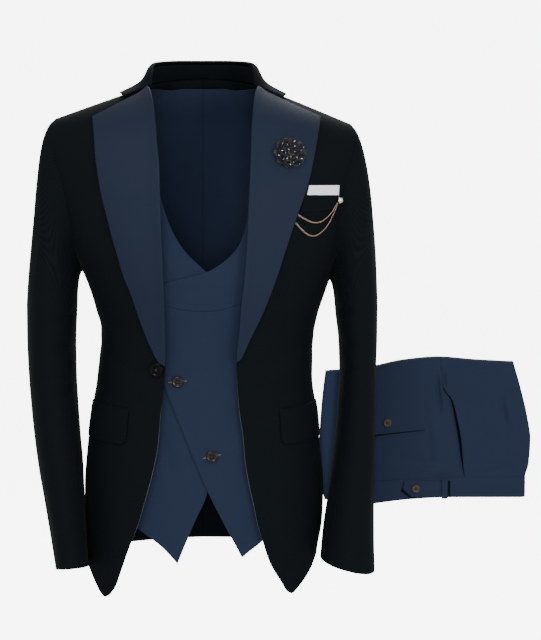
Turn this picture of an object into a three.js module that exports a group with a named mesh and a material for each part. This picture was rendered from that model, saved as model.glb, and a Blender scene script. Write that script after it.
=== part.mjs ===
// A three-piece dinner suit: an open one-button jacket with peak lapels, a crossed waistcoat under it, both
// holding the shape of a body with no wearer, and a pair of trousers folded flat beside and behind the left sleeve.
// Millimetres. +X is the wearer's left, +Y is behind the wearer, +Z is up. The origin is the middle of the neck.
import * as THREE from "three";

// Driving dimensions
const JACKET_WALL = 2.2; // worsted with its canvas and lining
const VEST_WALL = 2.0;
const SEAM = 0.25; // each piece stops this far short of its seam
const VEST_DEPTH = 9.5; // the waistcoat's outer face lies this far inside the jacket's
const SHOULDER_DEPTH = 3.7; // but only this far at the shoulders, where the jacket rests on it
const VEST_LAP = 3.2; // the lower of the two crossed fronts lies this much deeper
const LAPEL_LIFT = 1.2; // air between a front and the lapel lying on it
const LAPEL_WALL = 2.4;
const LAPEL_ROLL = 2.6; // extra rise of the lapel at its rolled edge
const NECK_HALF = 80; // half the width of the neck between the shoulder seams
const NECK_RISE = 3; // height of the shoulder seam where it meets the neck
const CHEST_LEVEL = -215; // below this height the rows of the cloth are level
const SHOULDER_ROUND = 66; // height over which the shoulder turns from front to back
const SQUARENESS = 2 / 2.3; // exponent of the body's rounded sections
const TURN = 2.4; // exponent of the shoulder's turn

// Small helpers
const table = (columns, ...rows) =>
  rows.map((row) => Object.fromEntries(columns.map((name, i) => [name, row[i]])));
const lerp = (a, b, t) => a + (b - a) * t;
const clamp = (x, low, high) => Math.min(high, Math.max(low, x));
const radians = (degrees) => (degrees * Math.PI) / 180;
const vector = (x, y, z) => new THREE.Vector3(x, y, z);
const spread = (count, of) => Array.from({ length: count + 1 }, (_, i) => of(i / count));

// A smooth curve through a table: column `of` against the rising column `by`, with no overshoot.
function track(rows, by, of) {
  const at = rows.map((row) => row[by]);
  const value = rows.map((row) => row[of]);
  const last = at.length - 1;
  const rise = at.slice(1).map((x, i) => (value[i + 1] - value[i]) / (x - at[i]));
  const slope = value.map((_, i) => {
    if (i === 0) return rise[0];
    if (i === last) return rise[last - 1];
    const product = rise[i - 1] * rise[i];
    return product <= 0 ? 0 : (2 * product) / (rise[i - 1] + rise[i]);
  });
  return (x) => {
    const q = clamp(x, at[0], at[last]);
    let i = 0;
    while (i < last - 1 && q > at[i + 1]) i += 1;
    const span = at[i + 1] - at[i];
    const t = (q - at[i]) / span;
    const s = 1 - t;
    return (
      value[i] * s * s * (1 + 2 * t) +
      value[i + 1] * t * t * (3 - 2 * t) +
      span * t * s * (slope[i] * s - slope[i + 1] * t)
    );
  };
}

// The body form that the jacket's outer face follows: half-widths to the wearer's right and left of the origin,
// and depths in front of and behind the side line, at each height
const BODY = table(
  ["z", "right", "left", "front", "back", "centre"],
  [-720, 159, 154, 106, 106, 0],
  [-650, 164, 160, 109, 109, 0],
  [-600, 166, 167, 110, 110, 0],
  [-560, 166, 168, 110, 109, 0],
  [-500, 162, 164, 107, 104, 0],
  [-450, 156, 160, 105, 97, 0],
  [-400, 148, 153, 106, 92, 0],
  [-340, 143, 155, 112, 94, 0],
  [-300, 151, 165, 118, 101, 0],
  [-260, 165, 178, 122, 107, 1],
  [-220, 186, 194, 123, 109, 3],
  [-150, 212, 212, 118, 108, 6],
  [-100, 226, 222, 108, 101, 8],
  [-50, 237, 230, 90, 86, 8],
  [0, 241, 234, 64, 62, 8],
  [60, 241, 234, 50, 54, 8],
);
const front = track(BODY, "z", "front");
const back = track(BODY, "z", "back");
const centre = track(BODY, "z", "centre");

// What differs between the wearer's right and left: the shoulder's slope, the armhole's ends, and the hem's height
// at each angle round the body from the centre front
const RIGHT = {
  name: "right",
  sign: -1,
  half: track(BODY, "z", "right"),
  slope: 0.345,
  head: { reach: 102, drop: -0.12, fade: 3 }, // how the sleeve leaves the top of the armhole
  armhole: { top: -40, bottom: -252, halfDepth: 62 },
  hem: track(
    table(
      ["angle", "z"],
      [52, -702], [56, -702.3], [58, -701.5], [60, -699], [63, -693.3], [66, -687], [71, -677], [76, -669], [90, -659.5], [180, -648],
    ),
    "angle",
    "z",
  ),
};
const LEFT = {
  name: "left",
  sign: 1,
  half: track(BODY, "z", "left"),
  slope: 0.4,
  head: { reach: 78, drop: -0.25, fade: 2 },
  armhole: { top: -48, bottom: -264, halfDepth: 60 },
  hem: track(
    table(
      ["angle", "z"],
      [45, -695.5], [49, -695.8], [51, -695], [53.5, -691.5], [57.8, -685], [62, -679], [66.8, -672], [71, -666], [77.7, -655.5], [90, -648.5],
      [180, -648],
    ),
    "angle",
    "z",
  ),
};

// Height of the shoulder line at a distance from the middle; inside the neck it climbs as a neck does.
function shoulderLine(side, x) {
  const inside = Math.max(0, NECK_HALF - x);
  return NECK_RISE - side.slope * (x - NECK_HALF) + 0.02 * inside * inside;
}
const shoulderAt = (side, angle) => shoulderLine(side, side.half(0) * Math.abs(Math.sin(angle)) ** SQUARENESS);

// A point of the form at an angle round the body (0 is the centre front) and a height.
function spot(side, angle, z) {
  const across = Math.abs(Math.sin(angle)) ** SQUARENESS;
  const t = clamp((shoulderAt(side, angle) - z) / SHOULDER_ROUND, 0, 1);
  const closing = (1 - (1 - t) ** TURN) ** (1 / TURN);
  const turn = Math.cos(angle);
  const depth = turn > 0 ? -front(z) : back(z);
  return vector(side.sign * side.half(z) * across, centre(z) + depth * Math.abs(turn) ** SQUARENESS * closing, z);
}

// Rows are named by a level: 1 on the shoulder line, 0 at the chest level, negative below it.
const RISE = 215;
const heightOf = (side, angle, level) =>
  CHEST_LEVEL + level * (level < 0 ? RISE : shoulderAt(side, angle) - CHEST_LEVEL);
const levelOf = (side, angle, z) =>
  z < CHEST_LEVEL ? (z - CHEST_LEVEL) / RISE : (z - CHEST_LEVEL) / (shoulderAt(side, angle) - CHEST_LEVEL);

// The point and outward normal at an angle and level, moved out by `off`.
function on(side, angle, level, off = 0) {
  const step = 1e-5;
  const at = (a, l) => spot(side, a, heightOf(side, a, Math.min(l, 1)));
  const along = at(Math.min(angle + step, Math.PI), level).sub(at(Math.max(angle - step, 0), level));
  const up = at(angle, level + step).sub(at(angle, Math.min(level, 1) - step));
  const n = along.cross(up).normalize().multiplyScalar(side.sign);
  return { p: at(angle, level).addScaledVector(n, off), n };
}

// The angle and level of a place given as it is seen from the front.
function seen(side, x, z) {
  const angle = Math.asin(clamp(Math.abs(x) / side.half(z), 0, 1) ** (1 / SQUARENESS));
  return { angle, level: levelOf(side, angle, z) };
}
function onFront(side, x, z, off = 0) {
  const place = seen(side, x, z);
  return on(side, place.angle, place.level, off);
}
// A place seen from the front on either side of the middle.
const onChest = (x, z, off) => onFront(x < 0 ? RIGHT : LEFT, x, z, off);

// Meshes

// A closed mesh from points and triangles, turned so that its faces point out.
function closed(points, faces) {
  let volume = 0;
  for (const [a, b, c] of faces) volume += points[a].dot(points[b].clone().cross(points[c]));
  const index = volume > 0 ? faces.flat() : faces.flatMap(([a, b, c]) => [a, c, b]);
  const geometry = new THREE.BufferGeometry().setFromPoints(points);
  geometry.setIndex(index);
  geometry.computeVertexNormals();
  return geometry;
}

// A wall of cloth on a grid of { p, n }: its faces are `outer` and `inner` from the grid, and its four edges stop
// short of the seams.
function wall(grid, outer, inner, short = SEAM) {
  const rows = grid.length;
  const columns = grid[0].length;
  const toward = (from, to) => from.p.clone().add(to.p.clone().sub(from.p).setLength(short));
  const drawn = grid.map((row) => row.map((c) => ({ p: c.p.clone(), n: c.n })));
  if (short > 0) {
    grid.forEach((row, j) => {
      drawn[j][0].p = toward(row[0], row[1]);
      drawn[j][columns - 1].p = toward(row[columns - 1], row[columns - 2]);
    });
    drawn[0].forEach((c, i) => {
      c.p = toward({ p: c.p.clone() }, grid[1][i]);
      drawn[rows - 1][i].p = toward({ p: drawn[rows - 1][i].p.clone() }, grid[rows - 2][i]);
    });
  }
  const offset = (value, i, j) => (typeof value === "function" ? value(i / (columns - 1), j / (rows - 1)) : value);
  const face = (value) =>
    drawn.flatMap((row, j) => row.map((c, i) => c.p.clone().addScaledVector(c.n, offset(value, i, j))));
  const points = [...face(outer), ...face(inner)];
  const id = (layer, j, i) => layer * rows * columns + j * columns + i;
  const faces = [];
  const quad = (a, b, c, d) => faces.push([a, b, c], [a, c, d]);
  for (let j = 0; j < rows - 1; j += 1) {
    for (let i = 0; i < columns - 1; i += 1) {
      quad(id(0, j, i), id(0, j, i + 1), id(0, j + 1, i + 1), id(0, j + 1, i));
      quad(id(1, j, i), id(1, j + 1, i), id(1, j + 1, i + 1), id(1, j, i + 1));
    }
    quad(id(0, j, 0), id(0, j + 1, 0), id(1, j + 1, 0), id(1, j, 0));
    const e = columns - 1;
    quad(id(0, j + 1, e), id(0, j, e), id(1, j, e), id(1, j + 1, e));
  }
  for (let i = 0; i < columns - 1; i += 1) {
    quad(id(0, 0, i + 1), id(0, 0, i), id(1, 0, i), id(1, 0, i + 1));
    const e = rows - 1;
    quad(id(0, e, i), id(0, e, i + 1), id(1, e, i + 1), id(1, e, i));
  }
  return closed(points, faces);
}

// Gives each point of a grid its normal, on the side that `sign` picks; a ring's last column is its first again.
function withNormals(points, sign, ring = false) {
  const rows = points.length - 1;
  const columns = points[0].length - 1;
  return points.map((row, j) =>
    row.map((p, i) => {
      const next = row[i < columns ? i + 1 : ring ? 1 : columns];
      const last = row[i > 0 ? i - 1 : ring ? columns - 1 : 0];
      const up = points[Math.min(j + 1, rows)][i].clone().sub(points[Math.max(j - 1, 0)][i]);
      return { p, n: next.clone().sub(last).cross(up).normalize().multiplyScalar(sign) };
    }),
  );
}

// A solid through a stack of rings that have the same number of points, closed by a fan at each end.
function stack(rings) {
  const count = rings[0].length;
  const points = rings.flat();
  const faces = [];
  for (let j = 0; j < rings.length - 1; j += 1)
    for (let i = 0; i < count; i += 1) {
      const k = (i + 1) % count;
      faces.push([j * count + i, j * count + k, (j + 1) * count + k], [j * count + i, (j + 1) * count + k, (j + 1) * count + i]);
    }
  for (const [ring, flip] of [[0, true], [rings.length - 1, false]]) {
    const middle = rings[ring].reduce((sum, p) => sum.add(p), vector(0, 0, 0)).divideScalar(count);
    points.push(middle);
    const hub = points.length - 1;
    for (let i = 0; i < count; i += 1) {
      const a = ring * count + i;
      const b = ring * count + ((i + 1) % count);
      faces.push(flip ? [hub, b, a] : [hub, a, b]);
    }
  }
  return closed(points, faces);
}

// Finishes: colour, roughness and metalness of each kind of piece
const finish = (color, roughness, metalness = 0) => new THREE.MeshStandardMaterial({ color, roughness, metalness });
const BLACK_WORSTED = finish(0x0d1113, 0.85);
const NAVY_FACING = finish(0x27334a, 0.6);
const NAVY_WORSTED = finish(0x27334a, 0.8);
const HORN = finish(0x1d1412, 0.3);
const GREY_HORN = finish(0x5d5751, 0.45);
const WHITE_LINEN = finish(0xe8e8f0, 0.8);
const GOLD = finish(0xd9b98a, 0.3, 0.9);
const FLOWER = finish(0x15151a, 0.5);

const suit = new THREE.Group();
const jacket = new THREE.Group();
const waistcoat = new THREE.Group();
const trousers = new THREE.Group();
suit.add(jacket, waistcoat, trousers);
function piece(group, name, geometry, material) {
  const mesh = new THREE.Mesh(geometry, material);
  mesh.name = name;
  group.add(mesh);
  return mesh;
}

// Armholes

// The armhole is an oval in side view, laid on the form. Angle 0 is its top, 90 its front, 180 its foot.
function armhole(side, turn, oval) {
  const middle = (oval.top + oval.bottom) / 2;
  const tall = (oval.top - oval.bottom) / 2;
  const z = middle + tall * Math.cos(turn);
  const wantedDepth = oval.halfDepth * Math.abs(Math.sin(turn));
  const behind = Math.sin(turn) < 0;
  let low = radians(8);
  let high = Math.PI / 2;
  for (let i = 0; i < 40; i += 1) {
    const angle = (low + high) / 2;
    const p = spot(side, behind ? Math.PI - angle : angle, z);
    if (Math.abs(p.y - centre(z)) > wantedDepth) low = angle;
    else high = angle;
  }
  const angle = behind ? Math.PI - low : low;
  return { angle, level: levelOf(side, angle, z), z };
}
const TOP_OF_OVAL = radians(4); // how near the oval's top the shoulder seam ends
// How far up the oval a turn is, from 0 at `from` to 1 at its top.
const progress = (turn, from) => (Math.cos(turn) - Math.cos(from)) / (Math.cos(TOP_OF_OVAL) - Math.cos(from));

// Jacket body

// The edge of each front, as seen from the front: below the button the cutaway, above it the line where the lapel
// rolls, and at the top the neck
const RIGHT_EDGE = table(
  ["z", "x"],
  [-702, 135.5], [-700, 132], [-693, 126.5], [-683, 120.5], [-670, 116], [-640, 106], [-618, 98], [-597, 90], [-569, 82], [-541, 74], [-513, 67], [-486, 62],
  [-450, 59], [-423, 56], [-386, 52], [-360, 51], [-308, 52], [-257, 54], [-190, 57], [-136, 59], [-104, 60], [-77, 63],
  [-50, 65], [-20, 68], [-4, 72], [1, 76], [3.4, 79],
);
const LEFT_EDGE = table(
  ["z", "x"],
  [-695.5, 122.5], [-693.5, 118.5], [-689, 115], [-680, 110], [-672, 105.3], [-661, 98.7], [-648, 92], [-634, 87], [-622, 83.5], [-593, 75], [-568, 70], [-541, 64], [-507, 58],
  [-472, 55], [-439, 50], [-400, 47], [-360, 46], [-318, 50], [-291, 52], [-257, 56], [-203, 60], [-158, 62], [-104, 65],
  [-77, 66], [-50, 67], [-20, 69], [-4, 72], [1, 76], [3.4, 79],
);
RIGHT.edge = track(RIGHT_EDGE, "z", "x");
LEFT.edge = track(LEFT_EDGE, "z", "x");
RIGHT.tip = -702;
LEFT.tip = -695.5;

// The angle of an edge, given as seen from the front, at a level.
function edgeAngle(side, edge, level) {
  let angle = radians(20);
  for (let i = 0; i < 12; i += 1) {
    const z = heightOf(side, angle, level);
    angle = seen(side, edge(z), z).angle;
  }
  return angle;
}

// Where a side-front and a side-back seam meet the armhole, as turns round its oval
const FRONT_SEAM_TURN = radians(128);
const BACK_SEAM_TURN = radians(226);
const FULL_TURN = 2 * Math.PI;
// The armhole's corners, shared by the body and the sleeve that is set into it
const FRONT_TURNS = spread(7, (t) => lerp(FRONT_SEAM_TURN, TOP_OF_OVAL, t));
const SIDE_TURNS = spread(4, (t) => lerp(FRONT_SEAM_TURN, BACK_SEAM_TURN, t));
const BACK_TURNS = spread(6, (t) => lerp(BACK_SEAM_TURN, FULL_TURN - TOP_OF_OVAL, t));

const BODY_ROWS = 11; // rows from the hem to the armhole, the same in each panel so that their seams match
function jacketFront(side, columns = 7) {
  const foot = armhole(side, FRONT_SEAM_TURN, side.armhole);
  const hemAt = (angle) => levelOf(side, angle, side.hem(THREE.MathUtils.radToDeg(angle)));
  const tipLevel = levelOf(side, 0, side.tip);
  const rows = [
    ...spread(BODY_ROWS, (t) => ({
      inner: lerp(tipLevel, foot.level, t),
      outer: { angle: foot.angle, level: lerp(hemAt(foot.angle), foot.level, t) },
      nearHem: (1 - t) ** 2,
    })),
    ...FRONT_TURNS.slice(1).map((turn, i) => ({
      inner: lerp(foot.level, 1, progress(turn, FRONT_SEAM_TURN)),
      outer: i === FRONT_TURNS.length - 2 ? { angle: armhole(side, turn, side.armhole).angle, level: 1 } : armhole(side, turn, side.armhole),
      nearHem: 0,
    })),
  ];
  return rows.map((row) => {
    const innerAngle = edgeAngle(side, side.edge, row.inner);
    return spread(columns, (u) => {
      const angle = lerp(innerAngle, row.outer.angle, u);
      const bend = hemAt(angle) - lerp(hemAt(innerAngle), hemAt(row.outer.angle), u);
      return on(side, angle, lerp(row.inner, row.outer.level, u) + bend * row.nearHem);
    });
  });
}

function jacketSide(side) {
  const top = SIDE_TURNS.map((turn) => armhole(side, turn, side.armhole));
  const last = top.length - 1;
  return spread(BODY_ROWS, (v) =>
    top.map((head, i) => {
      const straight = lerp(top[0].angle, top[last].angle, i / last);
      const hem = levelOf(side, straight, side.hem(THREE.MathUtils.radToDeg(straight)));
      return on(side, lerp(straight, head.angle, v * v), lerp(hem, head.level, v));
    }),
  );
}

// The back neckline dips from the neck point to the middle of the back.
const NAPE = 14;
function backTop(side, angle, nape) {
  const x = Math.min(NECK_HALF, side.half(0) * Math.sin(angle) ** SQUARENESS);
  const z = lerp(nape, NECK_RISE + 0.6, (x / NECK_HALF) ** 2);
  return Math.min(1, levelOf(side, angle, z));
}

// Columns from the middle of the back outward, one of which ends on the neck point.
function backColumns(side, tipAngle, inside, outside) {
  const neckAngle = Math.PI - Math.asin((NECK_HALF / side.half(0)) ** (1 / SQUARENESS));
  const share = (Math.PI - neckAngle) / (Math.PI - tipAngle);
  return [...spread(inside, (t) => t * share), ...spread(outside, (t) => lerp(share, 1, t)).slice(1)];
}

function backPanel(side, oval, turns, hem, nape, depth, lowRows, inside, outside) {
  const foot = armhole(side, turns[0], oval);
  const tip = armhole(side, turns[turns.length - 1], oval);
  const columns = backColumns(side, tip.angle, inside, outside);
  const rows = [
    ...spread(lowRows, (t) => ({ t, rise: 0, outer: { angle: foot.angle } })),
    ...turns.slice(1).map((turn, i) => ({
      rise: progress(turn, turns[0]),
      outer: i === turns.length - 2 ? { angle: tip.angle, level: 1 } : armhole(side, turn, oval),
    })),
  ];
  return rows.map((row) =>
    columns.map((u) => {
      const angle = lerp(Math.PI, row.outer.angle, u);
      const bottom = levelOf(side, angle, hem(THREE.MathUtils.radToDeg(angle)));
      const top = backTop(side, angle, nape);
      const climb = lerp(foot.level, top, row.rise);
      const level = row.rise === 0 ? lerp(bottom, foot.level, row.t) : lerp(climb, Math.min(row.outer.level, top), u * u * u);
      return on(side, angle, level, -depth(level));
    }),
  );
}

for (const side of [RIGHT, LEFT]) {
  piece(jacket, `jacket_front_${side.name}`, wall(jacketFront(side), 0, -JACKET_WALL), BLACK_WORSTED);
  piece(jacket, `jacket_side_${side.name}`, wall(jacketSide(side), 0, -JACKET_WALL), BLACK_WORSTED);
  const panel = backPanel(side, side.armhole, BACK_TURNS, side.hem, NAPE, () => 0, BODY_ROWS, 3, 4);
  piece(jacket, `jacket_back_${side.name}`, wall(panel, 0, -JACKET_WALL), BLACK_WORSTED);
}

// Lapels

// Outer edge of each lapel as seen from the front, from the button up to the peak
RIGHT.lapel = track(
  table(
    ["z", "x"],
    [-372, 59], [-362, 65], [-335, 77], [-307, 87], [-280, 96], [-253, 107], [-226, 115], [-199, 123], [-172, 130],
    [-145, 137], [-118, 142], [-91, 146], [-64, 148], [-40, 151],
  ),
  "z",
  "x",
);
LEFT.lapel = track(
  table(
    ["z", "x"],
    [-366, 51], [-362, 53], [-334, 66], [-307, 79], [-280, 90], [-253, 100], [-225, 109], [-198, 118], [-172, 127],
    [-145, 137], [-118, 145], [-91, 151], [-70, 155], [-40, 161],
  ),
  "z",
  "x",
);
RIGHT.lapelFoot = -372;
LEFT.lapelFoot = -366;
const PEAK = -40; // height of the lapel's peak
const GORGE_TOP = 0; // height of the gorge seam where it meets the neck
const OVERHANG = 1.4; // the rolled edge stands this far past the front's own edge
const ROLL_REACH = 9; // width of the rolled rise

function lapel(side, rows = 14, columns = 6) {
  return spread(rows, (t) => {
    const v = 1 - (1 - t) ** 1.5; // rows crowd toward the shoulder, where the form turns most
    const inZ = lerp(side.lapelFoot - 4, GORGE_TOP, v);
    const outZ = lerp(side.lapelFoot, PEAK, v);
    const inX = side.edge(inZ) - OVERHANG;
    const outX = side.lapel(outZ);
    return spread(columns, (u) => {
      const reach = u * u * 0.35 + u * 0.65;
      const cell = onFront(side, lerp(inX, outX, reach), lerp(inZ, outZ, reach));
      const distance = (outX - inX) * reach;
      cell.p.addScaledVector(cell.n, LAPEL_ROLL * Math.exp(-((distance / ROLL_REACH) ** 2)));
      return cell;
    });
  });
}
for (const side of [RIGHT, LEFT])
  piece(jacket, `jacket_lapel_${side.name}`, wall(lapel(side), LAPEL_LIFT + LAPEL_WALL, LAPEL_LIFT), NAVY_FACING);

// The shoulder's surface over a place given as it is seen from above, moved out by `off`.
function overhead(x, y, off) {
  const side = x < 0 ? RIGHT : LEFT;
  const reach = Math.abs(y - centre(0));
  const turned = (z) => (y > centre(0) ? Math.PI - seen(side, x, z).angle : seen(side, x, z).angle);
  let high = shoulderLine(side, Math.abs(x));
  let low = CHEST_LEVEL;
  for (let i = 0; i < 30; i += 1) {
    const z = (high + low) / 2;
    if (Math.abs(spot(side, turned(z), z).y - centre(z)) < reach) high = z;
    else low = z;
  }
  return on(side, turned(low), levelOf(side, turned(low), low), off).p;
}

// Collar: the leaf that falls over the neck seam and the stand inside it. Each row is a station from the back of the
// neck (0) to the gorge (1), and is mirrored for the other side: the crease, the leaf's edge as seen from above, how
// far the leaf swells between them, and the foot of the stand.
const COLLAR = table(
  ["at", "creaseX", "creaseY", "creaseZ", "edgeX", "edgeY", "swell", "baseX", "baseY", "baseZ"],
  [0, 0, 61, 38, 0, 72.5, 3.4, 0, 67.4, 14.7],
  [0.2, 29, 58, 38, 36, 72.5, 3.4, 33, 66.6, 13],
  [0.4, 52, 45, 37, 72, 57, 1.6, 56, 50.5, 9.8],
  [0.6, 67, 27, 35, 97, 42, -3.5, 72, 25.5, 6.7],
  [0.75, 72, 11, 30, 112, 20, -8.5, 79.5, 8.5, 4.8],
  [0.88, 73, -6, 20, 118, -3, -7, 78, -4.5, 4],
  [0.95, 73.5, -16, 11, 116, -12, -4, 77, -12, 3.1],
  [1, 74, -22, 4.5, 111, -27, 0, 75.5, -18, 2],
);
const COLLAR_WALL = 2.2;
const COLLAR_LIFT = 2.9; // the leaf's outer face at its edge stands this far off the shoulder
function collarRows(count, points) {
  const curves = Object.fromEntries(
    Object.keys(COLLAR[0]).slice(1).map((name) => [name, track(COLLAR, "at", name)]),
  );
  return spread(count, (t) => {
    const along = Math.abs(2 * t - 1);
    const sign = t < 0.5 ? -1 : 1;
    const get = (name) => curves[name](along);
    const crease = vector(sign * get("creaseX"), get("creaseY"), get("creaseZ"));
    const edge = overhead(sign * get("edgeX"), get("edgeY"), COLLAR_LIFT);
    const base = vector(sign * get("baseX"), get("baseY"), get("baseZ"));
    const out = vector(edge.x - crease.x, edge.y - crease.y, 0).normalize();
    return points({ crease, edge, base, out, swell: get("swell") });
  });
}
function collarLeaf() {
  const rows = collarRows(20, ({ crease, edge, out, swell }) => {
    const inside = crease.clone().addScaledVector(out, -2.4).add(vector(0, 0, -1.5));
    const shoulder = crease.clone().addScaledVector(out, 3).add(vector(0, 0, -2));
    const bend = shoulder.clone().lerp(edge, 0.5).addScaledVector(out, swell);
    return new THREE.CatmullRomCurve3([inside, crease, shoulder, bend, edge], false, "centripetal").getPoints(6);
  });
  return withNormals(rows, 1);
}
function collarStand() {
  const rows = collarRows(20, ({ crease, base, out }) => {
    const head = crease.clone().addScaledVector(out, -2.4).add(vector(0, 0, -4.6));
    return [base, base.clone().lerp(head, 0.5).addScaledVector(out, -0.6), head];
  });
  return withNormals(rows, -1);
}
piece(jacket, "jacket_collar_leaf", wall(collarLeaf(), 0, -COLLAR_WALL, 0), BLACK_WORSTED);
piece(jacket, "jacket_collar_stand", wall(collarStand(), 0, -COLLAR_WALL, 0), BLACK_WORSTED);

// Sleeves

// Each row is a section from the upper arm to the cuff: where its outer and inner sides are seen from the front, its
// middle from front to back, its half depth and how much its front edge is raised
const SLEEVE_COLUMNS = ["at", "outX", "outZ", "inX", "inZ", "middle", "depth", "tilt"];
RIGHT.sleeve = table(
  SLEEVE_COLUMNS,
  [0, 246, -300, 175.5, -306, -4, 66, 0],
  [0.13, 245.5, -345, 177, -348, -8, 64, 0.02],
  [0.25, 243.5, -390, 176.5, -390, -12, 62, 0.04],
  [0.38, 240, -435, 174, -435, -17, 60, 0.07],
  [0.5, 235.5, -478, 171, -476, -23, 59, 0.09],
  [0.63, 229.5, -522, 167, -520, -30, 58, 0.11],
  [0.75, 221.5, -566, 165, -562, -37, 57, 0.12],
  [0.88, 212.5, -617, 162.5, -612, -45, 56, 0.13],
  [1, 204.5, -665, 159, -661, -52, 55, 0.14],
);
LEFT.sleeve = table(
  SLEEVE_COLUMNS,
  [0, 243.5, -300, 185.5, -315, -4, 66, 0],
  [0.13, 243, -345, 189.5, -352, -8, 64, 0.02],
  [0.25, 241.5, -390, 190.5, -391, -12, 62, 0.04],
  [0.38, 240.5, -435, 188.5, -432, -17, 60, 0.06],
  [0.5, 239.5, -478, 185.5, -474, -22, 59, 0.08],
  [0.63, 239, -522, 181, -517, -27, 57, 0.09],
  [0.75, 238.5, -567, 174.5, -562, -32, 55, 0.1],
  [0.88, 238.5, -619, 167.5, -608, -37, 53, 0.04],
  [1, 239.5, -668, 163.5, -650, -41, 51, -0.06],
);
const FOOT_REACH = 26; // how strongly the sleeve leaves the foot of the armhole
const HEAD_ROWS = 6;
const ARM_ROWS = 7;
const ARMHOLE_GAP = 0.8;
// The sleeve's columns start at the hind-arm seam, pass the shoulder and the forearm seam and come back.
const AROUND = [0, ...FRONT_TURNS.slice(0, -1).reverse(), ...SIDE_TURNS.slice(1), ...BACK_TURNS.slice(1, -1)];
const SEAM_HIND = AROUND.length - BACK_TURNS.length + 2;
const SEAM_FORE = FRONT_TURNS.length - 2;
const TOP_TURNS = [...AROUND.slice(SEAM_HIND).map((turn) => turn - FULL_TURN), ...AROUND.slice(0, SEAM_FORE + 1)];
const UNDER_TURNS = AROUND.slice(SEAM_FORE, SEAM_HIND + 1);

// One ring of the sleeve from its table: `turn` goes round from the outer side by way of the front.
for (const side of [RIGHT, LEFT])
  side.sleeveCurves = Object.fromEntries(SLEEVE_COLUMNS.slice(1).map((name) => [name, track(side.sleeve, "at", name)]));
function sleeveRing(side, at, turn) {
  const get = (name) => side.sleeveCurves[name](at);
  const c = Math.sign(Math.cos(turn)) * Math.abs(Math.cos(turn)) ** 0.92;
  const s = Math.sign(Math.sin(turn)) * Math.abs(Math.sin(turn)) ** 0.92;
  const x = lerp(get("inX"), get("outX"), (1 + c) / 2);
  const lean = get("depth") * s;
  const z = lerp(get("inZ"), get("outZ"), (1 + c) / 2) + get("tilt") * lean;
  return vector(side.sign * x, get("middle") - lean, z);
}

// Start of the sleeve on the armhole, just inside the opening.
function armholeRim(side, turn) {
  const place = turn === 0 ? { angle: armhole(side, TOP_OF_OVAL, side.armhole).angle, level: 1 } : armhole(side, turn, side.armhole);
  const { p, n } = on(side, place.angle, place.level);
  const hub = vector(p.x, centre(p.z), (side.armhole.top + side.armhole.bottom) / 2);
  const inward = hub.sub(p).normalize();
  const into = inward.addScaledVector(n, -inward.dot(n)).normalize();
  return p.addScaledVector(into, ARMHOLE_GAP);
}

function sleeve(side) {
  const turns = [...TOP_TURNS, ...UNDER_TURNS.slice(1)];
  const headRows = spread(HEAD_ROWS, (s) =>
    turns.map((turn) => {
      const start = armholeRim(side, turn);
      const end = sleeveRing(side, 0, turn);
      const below = sleeveRing(side, 0.13, turn);
      const high = (1 + Math.cos(turn)) / 2;
      const length = start.distanceTo(end);
      const leave = vector(side.sign, 0, lerp(-0.25, side.head.drop, high)).setLength(lerp(FOOT_REACH, side.head.reach, high));
      const arrive = below.sub(end).normalize().multiplyScalar(length);
      const h = s * s * (3 - 2 * s);
      return start
        .multiplyScalar(1 - h)
        .addScaledVector(end, h)
        .addScaledVector(leave, s * (1 - s) ** lerp(2, side.head.fade, high * high))
        .addScaledVector(arrive, -s * s * (1 - s));
    }),
  );
  const armRows = spread(ARM_ROWS, (t) => turns.map((turn) => sleeveRing(side, t, turn))).slice(1);
  const grid = withNormals([...headRows, ...armRows], side.sign, true);
  const seam = TOP_TURNS.length;
  return { top: grid.map((row) => row.slice(0, seam)), under: grid.map((row) => row.slice(seam - 1)) };
}
for (const side of [RIGHT, LEFT]) {
  const { top, under } = sleeve(side);
  piece(jacket, `jacket_top_sleeve_${side.name}`, wall(top, 0, -JACKET_WALL), BLACK_WORSTED);
  piece(jacket, `jacket_under_sleeve_${side.name}`, wall(under, 0, -JACKET_WALL), BLACK_WORSTED);
}

// Jacket trim

// A patch of cloth lying on the form between two seen lines; `low` and `high` give { x, z } at a share along it.
const patch = (low, high, rows, columns) =>
  spread(rows, (v) =>
    spread(columns, (u) => {
      const a = low(u);
      const b = high(u);
      return onChest(lerp(a.x, b.x, v), lerp(a.z, b.z, v));
    }),
  );
const line = (x0, z0, x1, z1) => (t) => ({ x: lerp(x0, x1, t), z: lerp(z0, z1, t) });

// Hip pocket flaps lie on the form between two angles round the body.
const FLAP = { from: radians(38), to: radians(82), top: -437, foot: -487, wall: 2, lift: 0.5 };
for (const side of [RIGHT, LEFT]) {
  const grid = spread(3, (v) =>
    spread(8, (u) => {
      const angle = lerp(FLAP.from, FLAP.to, u);
      return on(side, angle, levelOf(side, angle, lerp(FLAP.foot, FLAP.top, v) + 6 * u));
    }),
  );
  piece(jacket, `jacket_flap_${side.name}`, wall(grid, FLAP.lift + FLAP.wall, FLAP.lift, 0), BLACK_WORSTED);
}
const WELT = { top: -144.5, foot: -167, wall: 1.8, lift: 0.5 };
piece(
  jacket,
  "jacket_breast_welt",
  wall(patch(line(132, WELT.foot - 1, 185, WELT.foot + 3), line(139, WELT.top - 1, 185, WELT.top + 2), 2, 5), WELT.lift + WELT.wall, WELT.lift, 0),
  BLACK_WORSTED,
);
piece(
  jacket,
  "pocket_square",
  wall(patch(line(140, WELT.top - 0.2, 184.5, WELT.top + 2.6), line(144, -132.5, 184.5, -131.5), 1, 5), WELT.lift + 1.6, WELT.lift, 0),
  WHITE_LINEN,
);

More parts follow.
